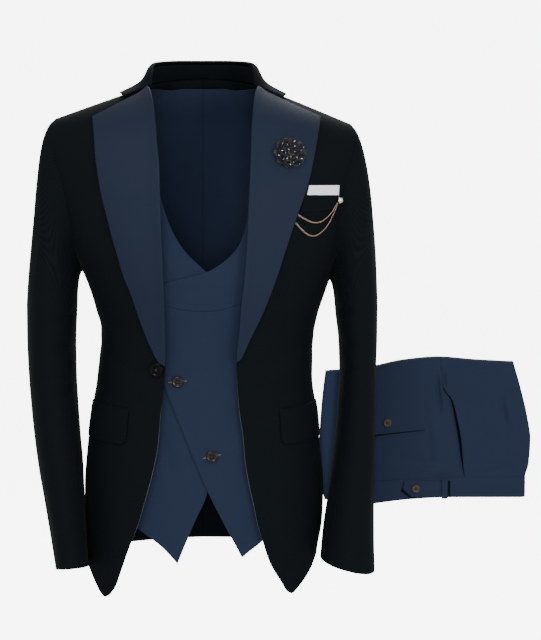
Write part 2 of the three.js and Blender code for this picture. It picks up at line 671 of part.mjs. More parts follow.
// Round parts are turned about their own axis, then stood on the cloth along its normal.
function standOn(mesh, cell, lift) {
  mesh.position.copy(cell.p).addScaledVector(cell.n, lift);
  mesh.quaternion.setFromUnitVectors(vector(0, 1, 0), cell.n);
}
function button(radius, thick) {
  const profile = [
    [0, 0], [radius * 0.86, 0], [radius, thick * 0.45], [radius * 0.9, thick], [radius * 0.62, thick * 0.72], [0, thick * 0.72],
  ].map(([r, h]) => new THREE.Vector2(r, h));
  return new THREE.LatheGeometry(profile, 14);
}
const JACKET_BUTTON = { x: -63, z: -381, radius: 10, thick: 4 };
standOn(piece(jacket, "jacket_button", button(JACKET_BUTTON.radius, JACKET_BUTTON.thick), HORN), onChest(JACKET_BUTTON.x, JACKET_BUTTON.z), 1);

// Lapel flower: a dome whose height and rim rise and fall with two rounds of petals.
const FLOWER_SIZE = { x: 119, z: -86, radius: 22, height: 13, petals: 9 };
function flower() {
  const rings = 5;
  const spokes = 27;
  const ring = (t) =>
    spread(spokes, (u) => {
      const turn = u * FULL_TURN;
      const wave = Math.cos(FLOWER_SIZE.petals * turn + (t > 0.45 ? 0 : Math.PI));
      const radius = FLOWER_SIZE.radius * t * (1 + 0.07 * wave);
      const dome = Math.sqrt(Math.max(0, 1 - (t * 0.96) ** 2));
      const ripple = 1 + 0.16 * wave * Math.sin(t * Math.PI) + 0.12 * Math.cos(t * 5 * Math.PI);
      return vector(radius * Math.cos(turn), 2 + (FLOWER_SIZE.height - 2) * dome * ripple, radius * Math.sin(turn));
    }).slice(1);
  const upper = spread(rings, (t) => ring(lerp(0.08, 1, t)));
  const foot = ring(0.9).map((p) => vector(p.x, 0, p.z));
  return stack([...upper, foot]);
}
standOn(piece(jacket, "lapel_flower", flower(), FLOWER), onChest(FLOWER_SIZE.x, FLOWER_SIZE.z), LAPEL_LIFT + LAPEL_WALL + 0.4);

// Pocket chain: a stud at the end of the welt and two swags that run to the edge of the lapel
const STUD = { x: 183, z: -154, radius: 4 };
const CHAIN_RADIUS = 0.9;
const CHAIN_LIFT = 3.6;
const SWAGS = {
  chain_upper: [[176.4, -155.5], [174.6, -163], [171, -173], [160, -178.5], [148, -179], [138, -174.5], [129.8, -169.5]],
  chain_lower: [[180.5, -160.8], [179, -170], [174.5, -184], [167, -194], [155, -198.5], [142, -196], [132, -188], [125.8, -181]],
};
standOn(
  piece(jacket, "chain_stud", new THREE.SphereGeometry(STUD.radius, 10, 6), GOLD),
  onChest(STUD.x, STUD.z),
  STUD.radius + WELT.lift + WELT.wall + 0.4,
);
for (const [name, seenPoints] of Object.entries(SWAGS)) {
  const route = new THREE.CatmullRomCurve3(seenPoints.map(([x, z]) => onChest(x, z, CHAIN_LIFT).p));
  const section = new THREE.Shape(spread(5, (t) => t * FULL_TURN * (5 / 6)).map((a) => new THREE.Vector2(CHAIN_RADIUS * Math.cos(a), CHAIN_RADIUS * Math.sin(a))));
  const tube = new THREE.ExtrudeGeometry(section, { steps: 14, curveSegments: 1, bevelEnabled: false, extrudePath: route });
  piece(jacket, name, tube, GOLD);
}

// Waistcoat

// The waistcoat's armholes are cut deeper and end nearer the neck than the jacket's.
const VEST_SHOULDER = 138;
for (const side of [RIGHT, LEFT])
  side.vestArmhole = { top: shoulderLine(side, VEST_SHOULDER), bottom: side.armhole.bottom - 22, halfDepth: 82 };
const VEST_SIDE = Math.PI; // the side seam meets the foot of the armhole
RIGHT.vestHem = track(
  table(["angle", "z"], [10, -650.5], [13.4, -639], [18.6, -625], [26.6, -610.5], [31.5, -603], [50, -590], [90, -580], [180, -574]),
  "angle",
  "z",
);
LEFT.vestHem = track(
  table(["angle", "z"], [16.5, -643], [21, -633], [26, -623.5], [31, -612], [50, -592], [90, -580], [180, -574]),
  "angle",
  "z",
);

// Front edges as seen from the front, x rising to the wearer's left. The left front is the upper of the two: its
// lower part ends in a slanting edge, and its yoke wraps over the right front as far as the middle of that side.
const SKIRT_EDGE = table(
  ["z", "x"],
  [-643, 56], [-596, 31], [-548, 7], [-498, -14], [-451, -34], [-403, -55], [-380, -64], [-350, -71], [-301, -74],
);
const YOKE_EDGE = table(
  ["at", "x", "z"],
  [0, -74, -294], [0.1, -74, -272], [0.22, -50, -262.5], [0.34, -20, -254], [0.45, 5, -247], [0.54, 36, -227], [0.61, 53, -204],
  [0.68, 62, -170], [0.76, 68, -125], [0.84, 72, -80], [0.92, 76, -35], [1, 80, 0],
);
const RIGHT_VEST_EDGE = table(
  ["at", "x", "z"],
  [0, -36.5, -650.5], [0.1, -14, -597], [0.2, 7, -548], [0.3, 18, -480], [0.42, 22, -380], [0.52, 22, -300], [0.57, 18, -266],
  [0.61, 3, -246], [0.66, -24, -220], [0.72, -45, -186], [0.79, -61, -137], [0.87, -70, -90], [0.94, -76, -35], [1, -80, 0],
);
const sideOf = (angle) => (angle < 0 ? RIGHT : LEFT);
const signedAngle = (x, z) => Math.sign(x) * seen(x < 0 ? RIGHT : LEFT, x, z).angle;
const vestDepth = (level) => lerp(VEST_DEPTH, SHOULDER_DEPTH, THREE.MathUtils.smoothstep(level, 0.86, 1));
const vestSpot = (angle, level, lap = 0) => on(sideOf(angle), Math.abs(angle), level, -vestDepth(level) - lap);

// The seam at the waist of the left front, at an angle round the body.
const waistSeam = track(
  table(["x", "z"], [-74, -294], [-53, -296], [-31, -300], [-4, -302.5], [23, -301], [39, -297], [60, -291], [150, -286]),
  "x",
  "z",
);
function waistSeamLevel(angle) {
  const x = Math.sign(angle) * sideOf(angle).half(-300) * Math.abs(Math.sin(angle)) ** SQUARENESS;
  return levelOf(sideOf(angle), Math.abs(angle), waistSeam(x));
}
// Columns of a waistcoat front, closer together where it shows
const VEST_SHARES = spread(9, (t) => t ** 1.35);

function vestSkirt(rows = 9) {
  const edge = track(SKIRT_EDGE, "z", "x");
  return spread(rows, (v) => {
    const z = lerp(-643, waistSeam(-74), v);
    const start = signedAngle(edge(z), z);
    return VEST_SHARES.map((u) => {
      const angle = lerp(start, Math.PI / 2, u);
      const hem = levelOf(sideOf(angle), Math.abs(angle), LEFT.vestHem(THREE.MathUtils.radToDeg(angle)));
      return vestSpot(angle, lerp(hem, waistSeamLevel(angle), v));
    });
  });
}

// A front that reaches the shoulder. Its rows run from its edge to the side seam, as far as `low`, then to the
// armhole; `bottom` gives the level of its lowest row at each angle.
function vestFront(side, edgeTable, bottom, low, rows, lap) {
  const edgeX = track(edgeTable, "at", "x");
  const edgeZ = track(edgeTable, "at", "z");
  const rim = (v) => {
    if (v < low) return { angle: Math.PI / 2, level: lerp(bottom((side.sign * Math.PI) / 2), armhole(side, VEST_SIDE, side.vestArmhole).level, v / low) };
    const place = armhole(side, lerp(VEST_SIDE, TOP_OF_OVAL, (v - low) / (1 - low)), side.vestArmhole);
    return v === 1 ? { angle: place.angle, level: 1 } : place;
  };
  return spread(rows, (v) => {
    const z = edgeZ(v);
    const start = signedAngle(edgeX(v), z);
    const startLevel = v === 1 ? 1 : levelOf(sideOf(start), Math.abs(start), z);
    const outer = rim(v);
    const end = side.sign * outer.angle;
    const fade = (1 - clamp(v / (low || 0.4), 0, 1)) ** 2;
    return VEST_SHARES.map((u) => {
      const angle = lerp(start, end, u);
      const bend = bottom(angle) - lerp(bottom(start), bottom(end), u);
      return vestSpot(angle, lerp(startLevel, outer.level, u) + bend * fade, lap(u, v));
    });
  });
}
const noLap = () => 0;
const underLap = (u, v) => VEST_LAP * clamp((0.85 - u) / 0.3, 0, 1) * clamp((0.86 - v) / 0.14, 0, 1);
const rightHem = (angle) => levelOf(sideOf(angle), Math.abs(angle), RIGHT.vestHem(THREE.MathUtils.radToDeg(-angle)));
piece(waistcoat, "vest_front_left_skirt", wall(vestSkirt(), 0, -VEST_WALL), NAVY_WORSTED);
piece(waistcoat, "vest_front_left_yoke", wall(vestFront(LEFT, YOKE_EDGE, waistSeamLevel, 0, 12, noLap), 0, -VEST_WALL), NAVY_WORSTED);
piece(waistcoat, "vest_front_right", wall(vestFront(RIGHT, RIGHT_VEST_EDGE, rightHem, 0.5, 17, underLap), 0, -VEST_WALL), NAVY_WORSTED);
const VEST_BACK_TURNS = spread(5, (t) => lerp(VEST_SIDE, FULL_TURN - TOP_OF_OVAL, t));
for (const side of [RIGHT, LEFT]) {
  const panel = backPanel(side, side.vestArmhole, VEST_BACK_TURNS, side.vestHem, 2, vestDepth, 7, 3, 3);
  piece(waistcoat, `vest_back_${side.name}`, wall(panel, 0, -VEST_WALL), NAVY_WORSTED);
}
const VEST_BUTTONS = [[-34, -396], [10, -498]];
VEST_BUTTONS.forEach(([x, z], i) => {
  standOn(piece(waistcoat, `vest_button_${i + 1}`, button(7.5, 3.4), HORN), onChest(x, z, -VEST_DEPTH), 0.7);
});

// Trousers, folded flat and stood waistband down. They lie beside the jacket and behind the left sleeve: the seat and
// hips in front, the folded legs behind them.

const FACE = 64; // y of the outer face of the front layer
const CLOTH = 1.8;
const LEFT_END = 205; // the front layer ends behind the sleeve
const top = track(table(["x", "z"], [205, -402], [246, -393], [289, -384], [335, -380], [389, -384], [443, -387]), "x", "z");
const bandTop = track(table(["x", "z"], [205, -560], [247, -558], [355, -553], [462, -552]), "x", "z");
const bandFoot = track(table(["x", "z"], [205, -598], [247, -592], [297, -586], [355, -583], [463, -583]), "x", "z");
// The side seam and the right edge, each at a share of the way up from the waistband
const sideSeam = track(
  table(["up", "x"], [0, 376], [0.06, 373.5], [0.29, 370], [0.49, 363.5], [0.64, 356.4], [0.74, 344.6], [0.86, 341.4], [1, 339]),
  "up",
  "x",
);
const rightEdge = track(table(["up", "x"], [0, 462.5], [0.11, 467], [0.32, 469], [0.52, 464], [0.77, 454], [1, 443]), "up", "x");
const TURN_BACK = 9; // the cloth curls back over this much of its folded edges
const curl = (distance) => {
  const t = clamp(1 - distance / TURN_BACK, 0, 1);
  return TURN_BACK * (1 - Math.sqrt(1 - t * t * 0.98));
};
// A place on the front layer, as seen from the front; the cloth swells between its edges and curls back at its folds.
function hipSpot(x, z, proud = 0) {
  const up = clamp((z - bandTop(x)) / (top(x) - bandTop(x)), 0, 1);
  const folds = curl(top(x) - z) + curl(rightEdge(up) - x);
  const pillow = 2.4 * Math.sin(Math.PI * up) * Math.sin((Math.PI * (x - LEFT_END)) / 264);
  return vector(x, FACE - pillow + folds - proud, z);
}
const UPWARD = [0, 0.15, 0.35, 0.55, 0.75, 0.88, 0.955, 0.985, 1];
// A part of the front layer between two edges; the pocket mouth stands a little proud along the seam.
function hipPanel(fromX, toX, shares, mouth) {
  const rows = UPWARD.map((up) =>
    shares.map((share) => {
      const x = lerp(fromX(up), toX(up), share);
      return hipSpot(x, lerp(bandTop(x), top(x), up), mouth(share, up));
    }),
  );
  return withNormals(rows, 1);
}
const flat = () => 0;
const proud = (share, up) => 1.6 * Math.exp(-((share / 0.12) ** 2)) * Math.sin(Math.PI * clamp(up / 0.76, 0, 1));
const SPREAD_BACK = [0, 0.25, 0.5, 0.75, 0.92, 1];
const SPREAD_FRONT = [0, 0.1, 0.3, 0.6, 0.85, 0.93, 0.98, 1];
piece(trousers, "trousers_back_panel", wall(hipPanel(() => LEFT_END, sideSeam, SPREAD_BACK, flat), 0, -CLOTH, 0.3), NAVY_WORSTED);
piece(trousers, "trousers_front_panel", wall(hipPanel(sideSeam, rightEdge, SPREAD_FRONT, proud), 0, -CLOTH, 0.3), NAVY_WORSTED);

// The waistband is doubled cloth, so it is thicker and stands a little proud.
const BAND_RISE = 1.2;
const BAND_WALL = 3;
const BAND_RIGHT = 463;
const bandSpot = (x, z, rounding = 0) => vector(x, FACE - BAND_RISE + curl(BAND_RIGHT - x) + rounding, z);
const BAND_SHARES = [0, 0.2, 0.4, 0.6, 0.8, 0.93, 0.965, 0.99, 1];
const bandGrid = [0, 0.12, 0.5, 0.88, 1].map((up) =>
  BAND_SHARES.map((share) => {
    const x = lerp(LEFT_END, BAND_RIGHT, share);
    return bandSpot(x, lerp(bandFoot(x), bandTop(x) - 0.6, up), 0.8 * (2 * up - 1) ** 4);
  }),
);
piece(trousers, "trousers_waistband", wall(withNormals(bandGrid, 1), 0, -BAND_WALL, 0), NAVY_WORSTED);

// What is sewn on the layers is made from their points, moved out: four corners from the lower left, as seen.
function sewnOn(spotOf, [footLeft, footRight, topRight, topLeft], wallDepth, columns = 3) {
  const rows = [0, 1].map((v) =>
    spread(columns, (u) => {
      const x = lerp(lerp(footLeft[0], footRight[0], u), lerp(topLeft[0], topRight[0], u), v);
      const z = lerp(lerp(footLeft[1], footRight[1], u), lerp(topLeft[1], topRight[1], u), v);
      return spotOf(x, z);
    }),
  );
  return wall(withNormals(rows, 1), 0.5 + wallDepth, 0.5, 0);
}
piece(trousers, "trousers_tab", sewnOn(bandSpot, [[296, -580], [341, -579.5], [341, -561.5], [285, -565]], 1.6), NAVY_WORSTED);
piece(trousers, "trousers_belt_loop", sewnOn(bandSpot, [[342.5, -584.5], [353, -584.5], [353, -556], [342.5, -556]], 1.8, 1), NAVY_WORSTED);
piece(
  trousers,
  "trousers_back_pocket_welt",
  sewnOn(hipSpot, [[246.4, -496.5], [315.4, -487.4], [315, -483.5], [246, -492]], 1.4, 4),
  NAVY_WORSTED,
);
const TROUSER_BUTTON = { radius: 5.6, thick: 2.6 };
const facingFront = (p) => ({ p, n: vector(0, -1, 0) });
const trouserButton = () => button(TROUSER_BUTTON.radius, TROUSER_BUTTON.thick);
standOn(piece(trousers, "trousers_tab_button", trouserButton(), GREY_HORN), facingFront(bandSpot(305, -568)), 2.6);
standOn(piece(trousers, "trousers_back_pocket_button", trouserButton(), GREY_HORN), facingFront(hipSpot(263.7, -475)), 0.6);

// Hidden layers are one solid for the hips and one for the legs. Each is a stack of outlines that swell and pinch, as
// the edges of folded layers do.
function layers(outline, from, to, count, pinch) {
  const cx = outline.reduce((sum, [x]) => sum + x, 0) / outline.length;
  const cz = outline.reduce((sum, [, z]) => sum + z, 0) / outline.length;
  const wide = Math.max(...outline.map(([x]) => Math.abs(x - cx)));
  const tall = Math.max(...outline.map(([, z]) => Math.abs(z - cz)));
  const levels = [];
  for (let k = 0; k < count; k += 1)
    for (const [share, inset] of [[0.03, 1], [0.28, 0.25], [0.5, 0], [0.72, 0.25], [0.97, 1]])
      levels.push([lerp(from, to, (k + share) / count), inset * pinch]);
  return stack(
    levels.map(([y, inset]) => outline.map(([x, z]) => vector(cx + (x - cx) * (1 - inset / wide), y, cz + (z - cz) * (1 - inset / tall)))),
  );
}
const HIPS = [
  [212, -560], [211, -500], [210, -440], [213, -412], [224, -406], [260, -398], [300, -391], [340, -388], [390, -391], [430, -394],
  [439, -400], [447, -425], [456, -465], [460, -500], [458, -540], [455, -574], [449, -580], [355, -580], [300, -582], [225, -590], [214, -584],
];
const LEGS = [
  [174, -585], [170, -540], [168, -500], [171, -450], [174.5, -404], [178, -401], [240, -399], [300, -396], [360, -393], [425, -394],
  [436, -400], [445, -440], [452, -500], [450, -560], [446, -572], [436, -577], [350, -578], [260, -582], [182, -590],
];
piece(trousers, "trousers_hip_layers", layers(HIPS, FACE + 3.1, FACE + 20.6, 2, 3.2), NAVY_WORSTED);
piece(trousers, "trousers_leg_layers", layers(LEGS, FACE + 21, FACE + 40, 2, 3.6), NAVY_WORSTED);

export default suit;
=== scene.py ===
"""A three-piece dinner suit: an open jacket with satin peak lapels over a crossed waistcoat, both holding the form
of a wearer who isn't there, and trousers folded flat beside the left sleeve. Laid out as an add-on, run as a script.

The form is worked out in millimetres, as the solids are: +X the wearer's left, +Y behind the wearer, +Z up, origin in
the middle of the neck. Each cut piece is a thin wall of cloth on that form, with its creases laid in one by one."""

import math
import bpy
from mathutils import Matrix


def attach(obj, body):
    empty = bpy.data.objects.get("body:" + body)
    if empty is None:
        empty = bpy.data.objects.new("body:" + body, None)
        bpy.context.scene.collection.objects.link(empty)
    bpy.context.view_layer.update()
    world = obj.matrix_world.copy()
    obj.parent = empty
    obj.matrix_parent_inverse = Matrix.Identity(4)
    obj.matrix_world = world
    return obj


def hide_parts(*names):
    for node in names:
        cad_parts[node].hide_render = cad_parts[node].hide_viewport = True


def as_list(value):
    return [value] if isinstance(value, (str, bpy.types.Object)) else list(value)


bl_info = {
    "name": "Dinner suit with a crossed waistcoat and folded trousers",
    "version": (1, 0),
    "blender": (4, 5, 0),
    "location": "3D View > Sidebar > Dinner suit",
    "description": "Cuts and finishes each piece of an open dinner jacket, its waistcoat and its folded trousers",
    "category": "Add Mesh",
}

from types import SimpleNamespace

import bpy
import numpy as np
from mathutils import Vector

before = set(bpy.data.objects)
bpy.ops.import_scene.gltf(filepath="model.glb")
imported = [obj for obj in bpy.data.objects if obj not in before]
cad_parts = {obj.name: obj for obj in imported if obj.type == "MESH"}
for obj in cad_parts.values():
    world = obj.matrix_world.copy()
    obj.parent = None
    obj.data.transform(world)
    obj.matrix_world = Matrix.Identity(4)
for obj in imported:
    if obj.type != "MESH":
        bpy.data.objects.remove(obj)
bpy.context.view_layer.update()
MM = 0.001
BODY = "root"

# Sizes of the cut, in millimetres
JACKET_WALL = 2.2
VEST_WALL = 2.0
SEAM = -0.1  # at a seam the rounded rims of two pieces close on each other
VEST_DEPTH = 9.5  # the waistcoat's outer face lies this far inside the jacket's
SHOULDER_DEPTH = 3.7  # but only this far at the shoulders
VEST_LAP = 3.2  # the lower of the two crossed fronts lies this much deeper
LAPEL_LIFT = 1.2
LAPEL_WALL = 2.4
LAPEL_ROLL = 2.6
NECK_HALF = 80
NECK_RISE = 3
CHEST_LEVEL = -215
SHOULDER_ROUND = 66  # the form's depth closes within this height below the shoulder line
CLOSING = 2.4  # and with this roundness
SQUARENESS = 2 / 2.3  # of the form's level sections; 1 is an oval
RISE = 215  # height of one level below the chest level


# Helpers


def columns(names, *rows):
    """A short table: one array for each named column."""
    return {name: np.array([row[i] for row in rows], float) for i, name in enumerate(names.split())}


def track(table, by, of):
    """A smooth curve through a table, column `of` against the rising column `by`: cubic spans whose slopes are the
    harmonic mean of their neighbours', so it never overshoots."""
    at, value = table[by], table[of]
    rise = np.diff(value) / np.diff(at)
    product, total = rise[:-1] * rise[1:], rise[:-1] + rise[1:]
    slope = np.empty_like(value)
    slope[0], slope[-1] = rise[0], rise[-1]
    slope[1:-1] = np.where(product > 0, 2 * product / np.where(product > 0, total, 1), 0)

    def curve(x):
        q = np.clip(x, at[0], at[-1])
        i = np.clip(np.searchsorted(at, q) - 1, 0, len(at) - 2)
        span = at[i + 1] - at[i]
        t = (q - at[i]) / span
        s = 1 - t
        ends = value[i] * s * s * (1 + 2 * t) + value[i + 1] * t * t * (3 - 2 * t)
        return ends + span * t * s * (slope[i] * s - slope[i + 1] * t)

    return curve


def lerp(a, b, t):
    return a + (b - a) * t


def smooth(x, low, high):
    t = np.clip((x - low) / (high - low), 0, 1)
    return t * t * (3 - 2 * t)


def unit(v):
    return v / np.maximum(np.linalg.norm(v, axis=-1, keepdims=True), 1e-12)


def stacked(x, y, z):
    return np.stack(np.broadcast_arrays(x, y, z), -1).astype(float)


def shares(length, step):
    """Even shares from 0 to 1 along a length, about a step apart."""
    wanted = step
    return np.linspace(0, 1, max(4, int(round(length / wanted))) + 1)


def soft_lines(across, up, strokes):
    """Relief of listed creases. Each stroke runs from one place to another; its height is a bell across the stroke
    times a dome along it, negative for a trough, and `bow` bends it sideways at its middle."""
    relief = np.zeros(np.broadcast(across, up).shape)
    for a0, b0, a1, b1, width, height, bow in strokes:
        da, db = a1 - a0, b1 - b0
        length = math.hypot(da, db)
        t = ((across - a0) * da + (up - b0) * db) / length**2
        dome = np.clip(4 * t * (1 - t), 0, 1)
        off = ((across - a0) * db - (up - b0) * da) / length - bow * dome
        relief = relief + height * dome * np.exp(-((off / width) ** 2))
    return relief


# The form that the jacket's outer face follows

FORM = columns(
    "z right left front back centre",  # heights, half widths each way, depths each way and the middle's y
    (-720, 159, 154, 106, 106, 0),
    (-650, 164, 160, 109, 109, 0),
    (-600, 166, 167, 110, 110, 0),
    (-560, 166, 168, 110, 109, 0),
    (-500, 162, 164, 107, 104, 0),
    (-450, 156, 160, 105, 97, 0),
    (-400, 148, 153, 106, 92, 0),
    (-340, 143, 155, 112, 94, 0),
    (-300, 151, 165, 118, 101, 0),
    (-260, 165, 178, 122, 107, 1),
    (-220, 186, 194, 123, 109, 3),
    (-150, 212, 212, 118, 108, 6),
    (-100, 226, 222, 108, 101, 8),
    (-50, 237, 230, 90, 86, 8),
    (0, 241, 234, 64, 62, 8),
    (60, 241, 234, 50, 54, 8),
)
form_front = track(FORM, "z", "front")
form_back = track(FORM, "z", "back")
form_centre = track(FORM, "z", "centre")

RIGHT = SimpleNamespace(
    name="right",
    sign=-1,
    half=track(FORM, "z", "right"),
    slope=0.345,
    armhole=(-40, -252, 62),  # its top, its foot and half its depth
    head=(102, -0.12, 3),  # how the sleeve leaves the armhole: reach, drop and how fast it fades
    hem=columns(
        "angle z",
        (52, -702), (56, -702.3), (58, -701.5), (60, -699), (63, -693.3), (66, -687), (71, -677), (76, -669),
        (90, -659.5), (180, -648),
    ),
    tip=-702,
)
LEFT = SimpleNamespace(
    name="left",
    sign=1,
    half=track(FORM, "z", "left"),
    slope=0.4,
    armhole=(-48, -264, 60),
    head=(78, -0.25, 2),
    hem=columns(
        "angle z",
        (45, -695.5), (49, -695.8), (51, -695), (53.5, -691.5), (57.8, -685), (62, -679), (66.8, -672), (71, -666),
        (77.7, -655.5), (90, -648.5), (180, -648),
    ),
    tip=-695.5,
)
SIDES = (RIGHT, LEFT)
for side in SIDES:
    side.hem = track(side.hem, "angle", "z")

# Creases of the jacket's body: from and to an angle in degrees round from the centre front and a height, then width,
# height (negative is a trough) and bow
BODY_CREASES = {
    "right": (
        (26, -392, 76, -350, 9, -1.3, 5),
        (28, -402, 84, -398, 12, 1.1, -5),
        (26, -408, 70, -446, 9, -1.0, 6),
        (60, -330, 108, -312, 11, -1.2, 6),
        (72, -362, 122, -350, 9, -1.0, -6),
        (84, -280, 66, -206, 12, -1.3, 8),
        (96, -268, 76, -170, 13, 1.1, 8),
        (48, -690, 40, -540, 16, 1.2, 6),
        (70, -676, 62, -520, 14, -1.2, -8),
        (96, -650, 92, -480, 17, 1.3, 6),
        (118, -652, 112, -470, 14, -1.5, -6),
        (142, -652, 138, -500, 18, 1.3, 6),
        (104, -330, 160, -352, 11, -1.6, -8),
        (112, -372, 170, -366, 9, -1.3, 6),
        (120, -392, 158, -418, 12, 1.1, 8),
        (122, -250, 150, -150, 14, -1.5, 10),
        (132, -236, 162, -120, 15, 1.1, -8),
        (46, -70, 70, -190, 15, -0.9, 8),
    ),
    "left": (
        (22, -376, 66, -342, 10, -1.1, 6),
        (24, -392, 78, -388, 12, 1.0, -5),
        (22, -404, 62, -438, 9, -1.1, -6),
        (58, -322, 104, -306, 12, -1.1, -6),
        (70, -358, 118, -344, 9, -0.9, 6),
        (82, -288, 62, -214, 13, -1.2, 8),
        (94, -276, 74, -180, 12, 1.0, -8),
        (44, -684, 38, -530, 15, 1.1, -6),
        (66, -670, 60, -512, 15, -1.3, 8),
        (92, -642, 90, -476, 16, 1.2, -6),
        (114, -644, 110, -466, 15, -1.4, 6),
        (138, -644, 134, -506, 17, 1.4, -6),
        (106, -322, 158, -346, 12, -1.5, 8),
        (110, -366, 168, -372, 9, -1.4, -6),
        (122, -388, 156, -408, 11, 1.2, -8),
        (120, -262, 148, -156, 13, -1.4, -10),
        (134, -240, 160, -128, 15, 1.2, 8),
        (44, -76, 68, -200, 14, -0.8, -8),
    ),
}
GIRTH_PER_DEGREE = 2.8  # millimetres of cloth for each degree round the body


def body_relief(side, angle, z):
    """The jacket's creases, fading out toward the centre back and the shoulder line so that its seams meet."""
    strokes = [
        (a0 * GIRTH_PER_DEGREE, z0, a1 * GIRTH_PER_DEGREE, z1, width, height, bow)
        for a0, z0, a1, z1, width, height, bow in BODY_CREASES[side.name]
    ]
    turn = np.degrees(angle)
    fade = smooth(180 - turn, 0, 12) * smooth(-z, 20, 90)
    return fade * soft_lines(turn * GIRTH_PER_DEGREE, z, strokes)


def no_relief(side, angle, z):
    return 0.0


def shoulder_line(side, x):
    """Height of the shoulder at a distance from the middle: a straight slope that climbs inside the neck."""
    inside = np.maximum(0, NECK_HALF - x)
    return NECK_RISE - side.slope * (x - NECK_HALF) + 0.02 * inside * inside


def shoulder_at(side, angle):
    return shoulder_line(side, side.half(0.0) * np.abs(np.sin(angle)) ** SQUARENESS)


def spot(side, angle, z):
    """A point of the form: a rounded section at each height, whose depth closes to a ridge along the shoulder."""
    across = np.abs(np.sin(angle)) ** SQUARENESS
    t = np.clip((shoulder_at(side, angle) - z) / SHOULDER_ROUND, 0, 1)
    closing = (1 - (1 - t) ** CLOSING) ** (1 / CLOSING)
    turn = np.cos(angle)
    depth = np.where(turn > 0, -form_front(z), form_back(z))
    y = form_centre(z) + depth * np.abs(turn) ** SQUARENESS * closing
    return stacked(side.sign * side.half(z) * across, y, z)


def height_of(side, angle, level):
    """Level 1 is the shoulder line, 0 the chest level, and rows below it are level."""
    return CHEST_LEVEL + level * np.where(level < 0, RISE, shoulder_at(side, angle) - CHEST_LEVEL)


def level_of(side, angle, z):
    return np.where(
        z < CHEST_LEVEL, (z - CHEST_LEVEL) / RISE, (z - CHEST_LEVEL) / (shoulder_at(side, angle) - CHEST_LEVEL)
    )


def on(side, angle, level, relief=body_relief):
    """Points and outward normals of the form at angles and levels, raised by the relief there."""
    step = 1e-5
    angle, level = np.broadcast_arrays(np.asarray(angle, float), np.asarray(level, float))

    def at(a, l):
        return spot(side, a, height_of(side, a, np.minimum(l, 1)))

    along = at(np.minimum(angle + step, math.pi), level) - at(np.maximum(angle - step, 0), level)
    up = at(angle, level + step) - at(angle, np.minimum(level, 1) - step)
    n = unit(np.cross(along, up)) * side.sign
    p = at(angle, level)
    raised = relief(side, angle, p[..., 2])
    return p + n * np.asarray(raised)[..., None], n


def seen(side, x, z):
    """The angle and level of a place given as it is seen from the front."""
    angle = np.arcsin(np.clip(np.abs(x) / side.half(z), 0, 1) ** (1 / SQUARENESS))
    return angle, level_of(side, angle, z)


def on_front(side, x, z, relief=body_relief):
    x, z = np.broadcast_arrays(np.asarray(x, float), np.asarray(z, float))
    return on(side, *seen(side, x, z), relief)


def both_sides(x, right, left):
    """Takes each point and normal from the wearer's right where x is negative, and from the left elsewhere."""
    mask = (np.asarray(x) < 0)[..., None]
    return np.where(mask, right[0], left[0]), np.where(mask, right[1], left[1])


# Cloth as closed walls


def normals_of(points, sign, ring=False):
    """Normals of a grid from the differences of its neighbours; a ring's last column is its first again."""
    rows = np.gradient(points, axis=0)
    if ring:
        wide = np.concatenate([points[:, -2:-1], points, points[:, 1:2]], 1)
        across = wide[:, 2:] - wide[:, :-2]
    else:
        across = np.gradient(points, axis=1)
    return unit(np.cross(across, rows)) * sign


def border_of(rows, cols):
    """Row and column numbers of a grid's border, once round."""
    r = [np.zeros(cols, int), np.arange(1, rows), np.full(cols - 1, rows - 1), np.arange(rows - 2, 0, -1)]
    c = [np.arange(cols), np.full(rows - 1, cols - 1), np.arange(cols - 2, -1, -1), np.zeros(rows - 2, int)]
    return np.concatenate(r), np.concatenate(c)


def arc(points, axis):
    """Length of cloth from the start of each row or column."""
    steps = np.linalg.norm(np.diff(points, axis=axis), axis=-1)
    total = np.cumsum(steps, axis=axis)
    pad = [(0, 0), (0, 0)]
    pad[axis] = (1, 0)
    return np.pad(total, pad)


def wall_arrays(points, normals, outer, inner, gap=SEAM, bulge=0.7):
    """A wall on a grid. Its faces are the grid moved out by `outer` and `inner`; its rim is a half round that stands
    `gap` short of the grid's border. Gives vertices, quads and a place in the cloth for each vertex."""
    rows, cols = points.shape[:2]
    inward = np.zeros_like(points)
    inward[:, 0] += unit(points[:, 1] - points[:, 0])
    inward[:, -1] += unit(points[:, -2] - points[:, -1])
    inward[0] += unit(points[1] - points[0])
    inward[-1] += unit(points[-2] - points[-1])
    outer = np.broadcast_to(outer, (rows, cols))[..., None]
    inner = np.broadcast_to(inner, (rows, cols))[..., None]
    drawn = points + inward * (gap + bulge)
    br, bc = border_of(rows, cols)
    rim = [
        (points + inward * (gap + bulge * inset) + normals * lerp(outer, inner, share))[br, bc]
        for share, inset in ((0.12, 0.38), (0.5, 0.0), (0.88, 0.38))
    ]
    both_faces = [(drawn + normals * off).reshape(-1, 3) for off in (outer, inner)]
    vertices = np.concatenate([*both_faces, *rim])
    number = np.arange(rows * cols).reshape(rows, cols)
    quads = np.stack([number[:-1, :-1], number[:-1, 1:], number[1:, 1:], number[1:, :-1]], -1).reshape(-1, 4)
    edge = number[br, bc]
    rings = [edge, *(2 * rows * cols + k * len(edge) + np.arange(len(edge)) for k in range(3)), edge + rows * cols]
    sides = [
        np.stack([b, np.roll(b, -1), np.roll(a, -1), a], -1)
        for a, b in zip(rings[:-1], rings[1:])
    ]
    faces = np.concatenate([quads, quads[:, ::-1] + rows * cols, *sides])
    cloth = np.stack([arc(points, 1), arc(points, 0)], -1)
    places = np.concatenate([cloth.reshape(-1, 2)] * 2 + [cloth[br, bc]] * 3)
    return vertices, faces, places


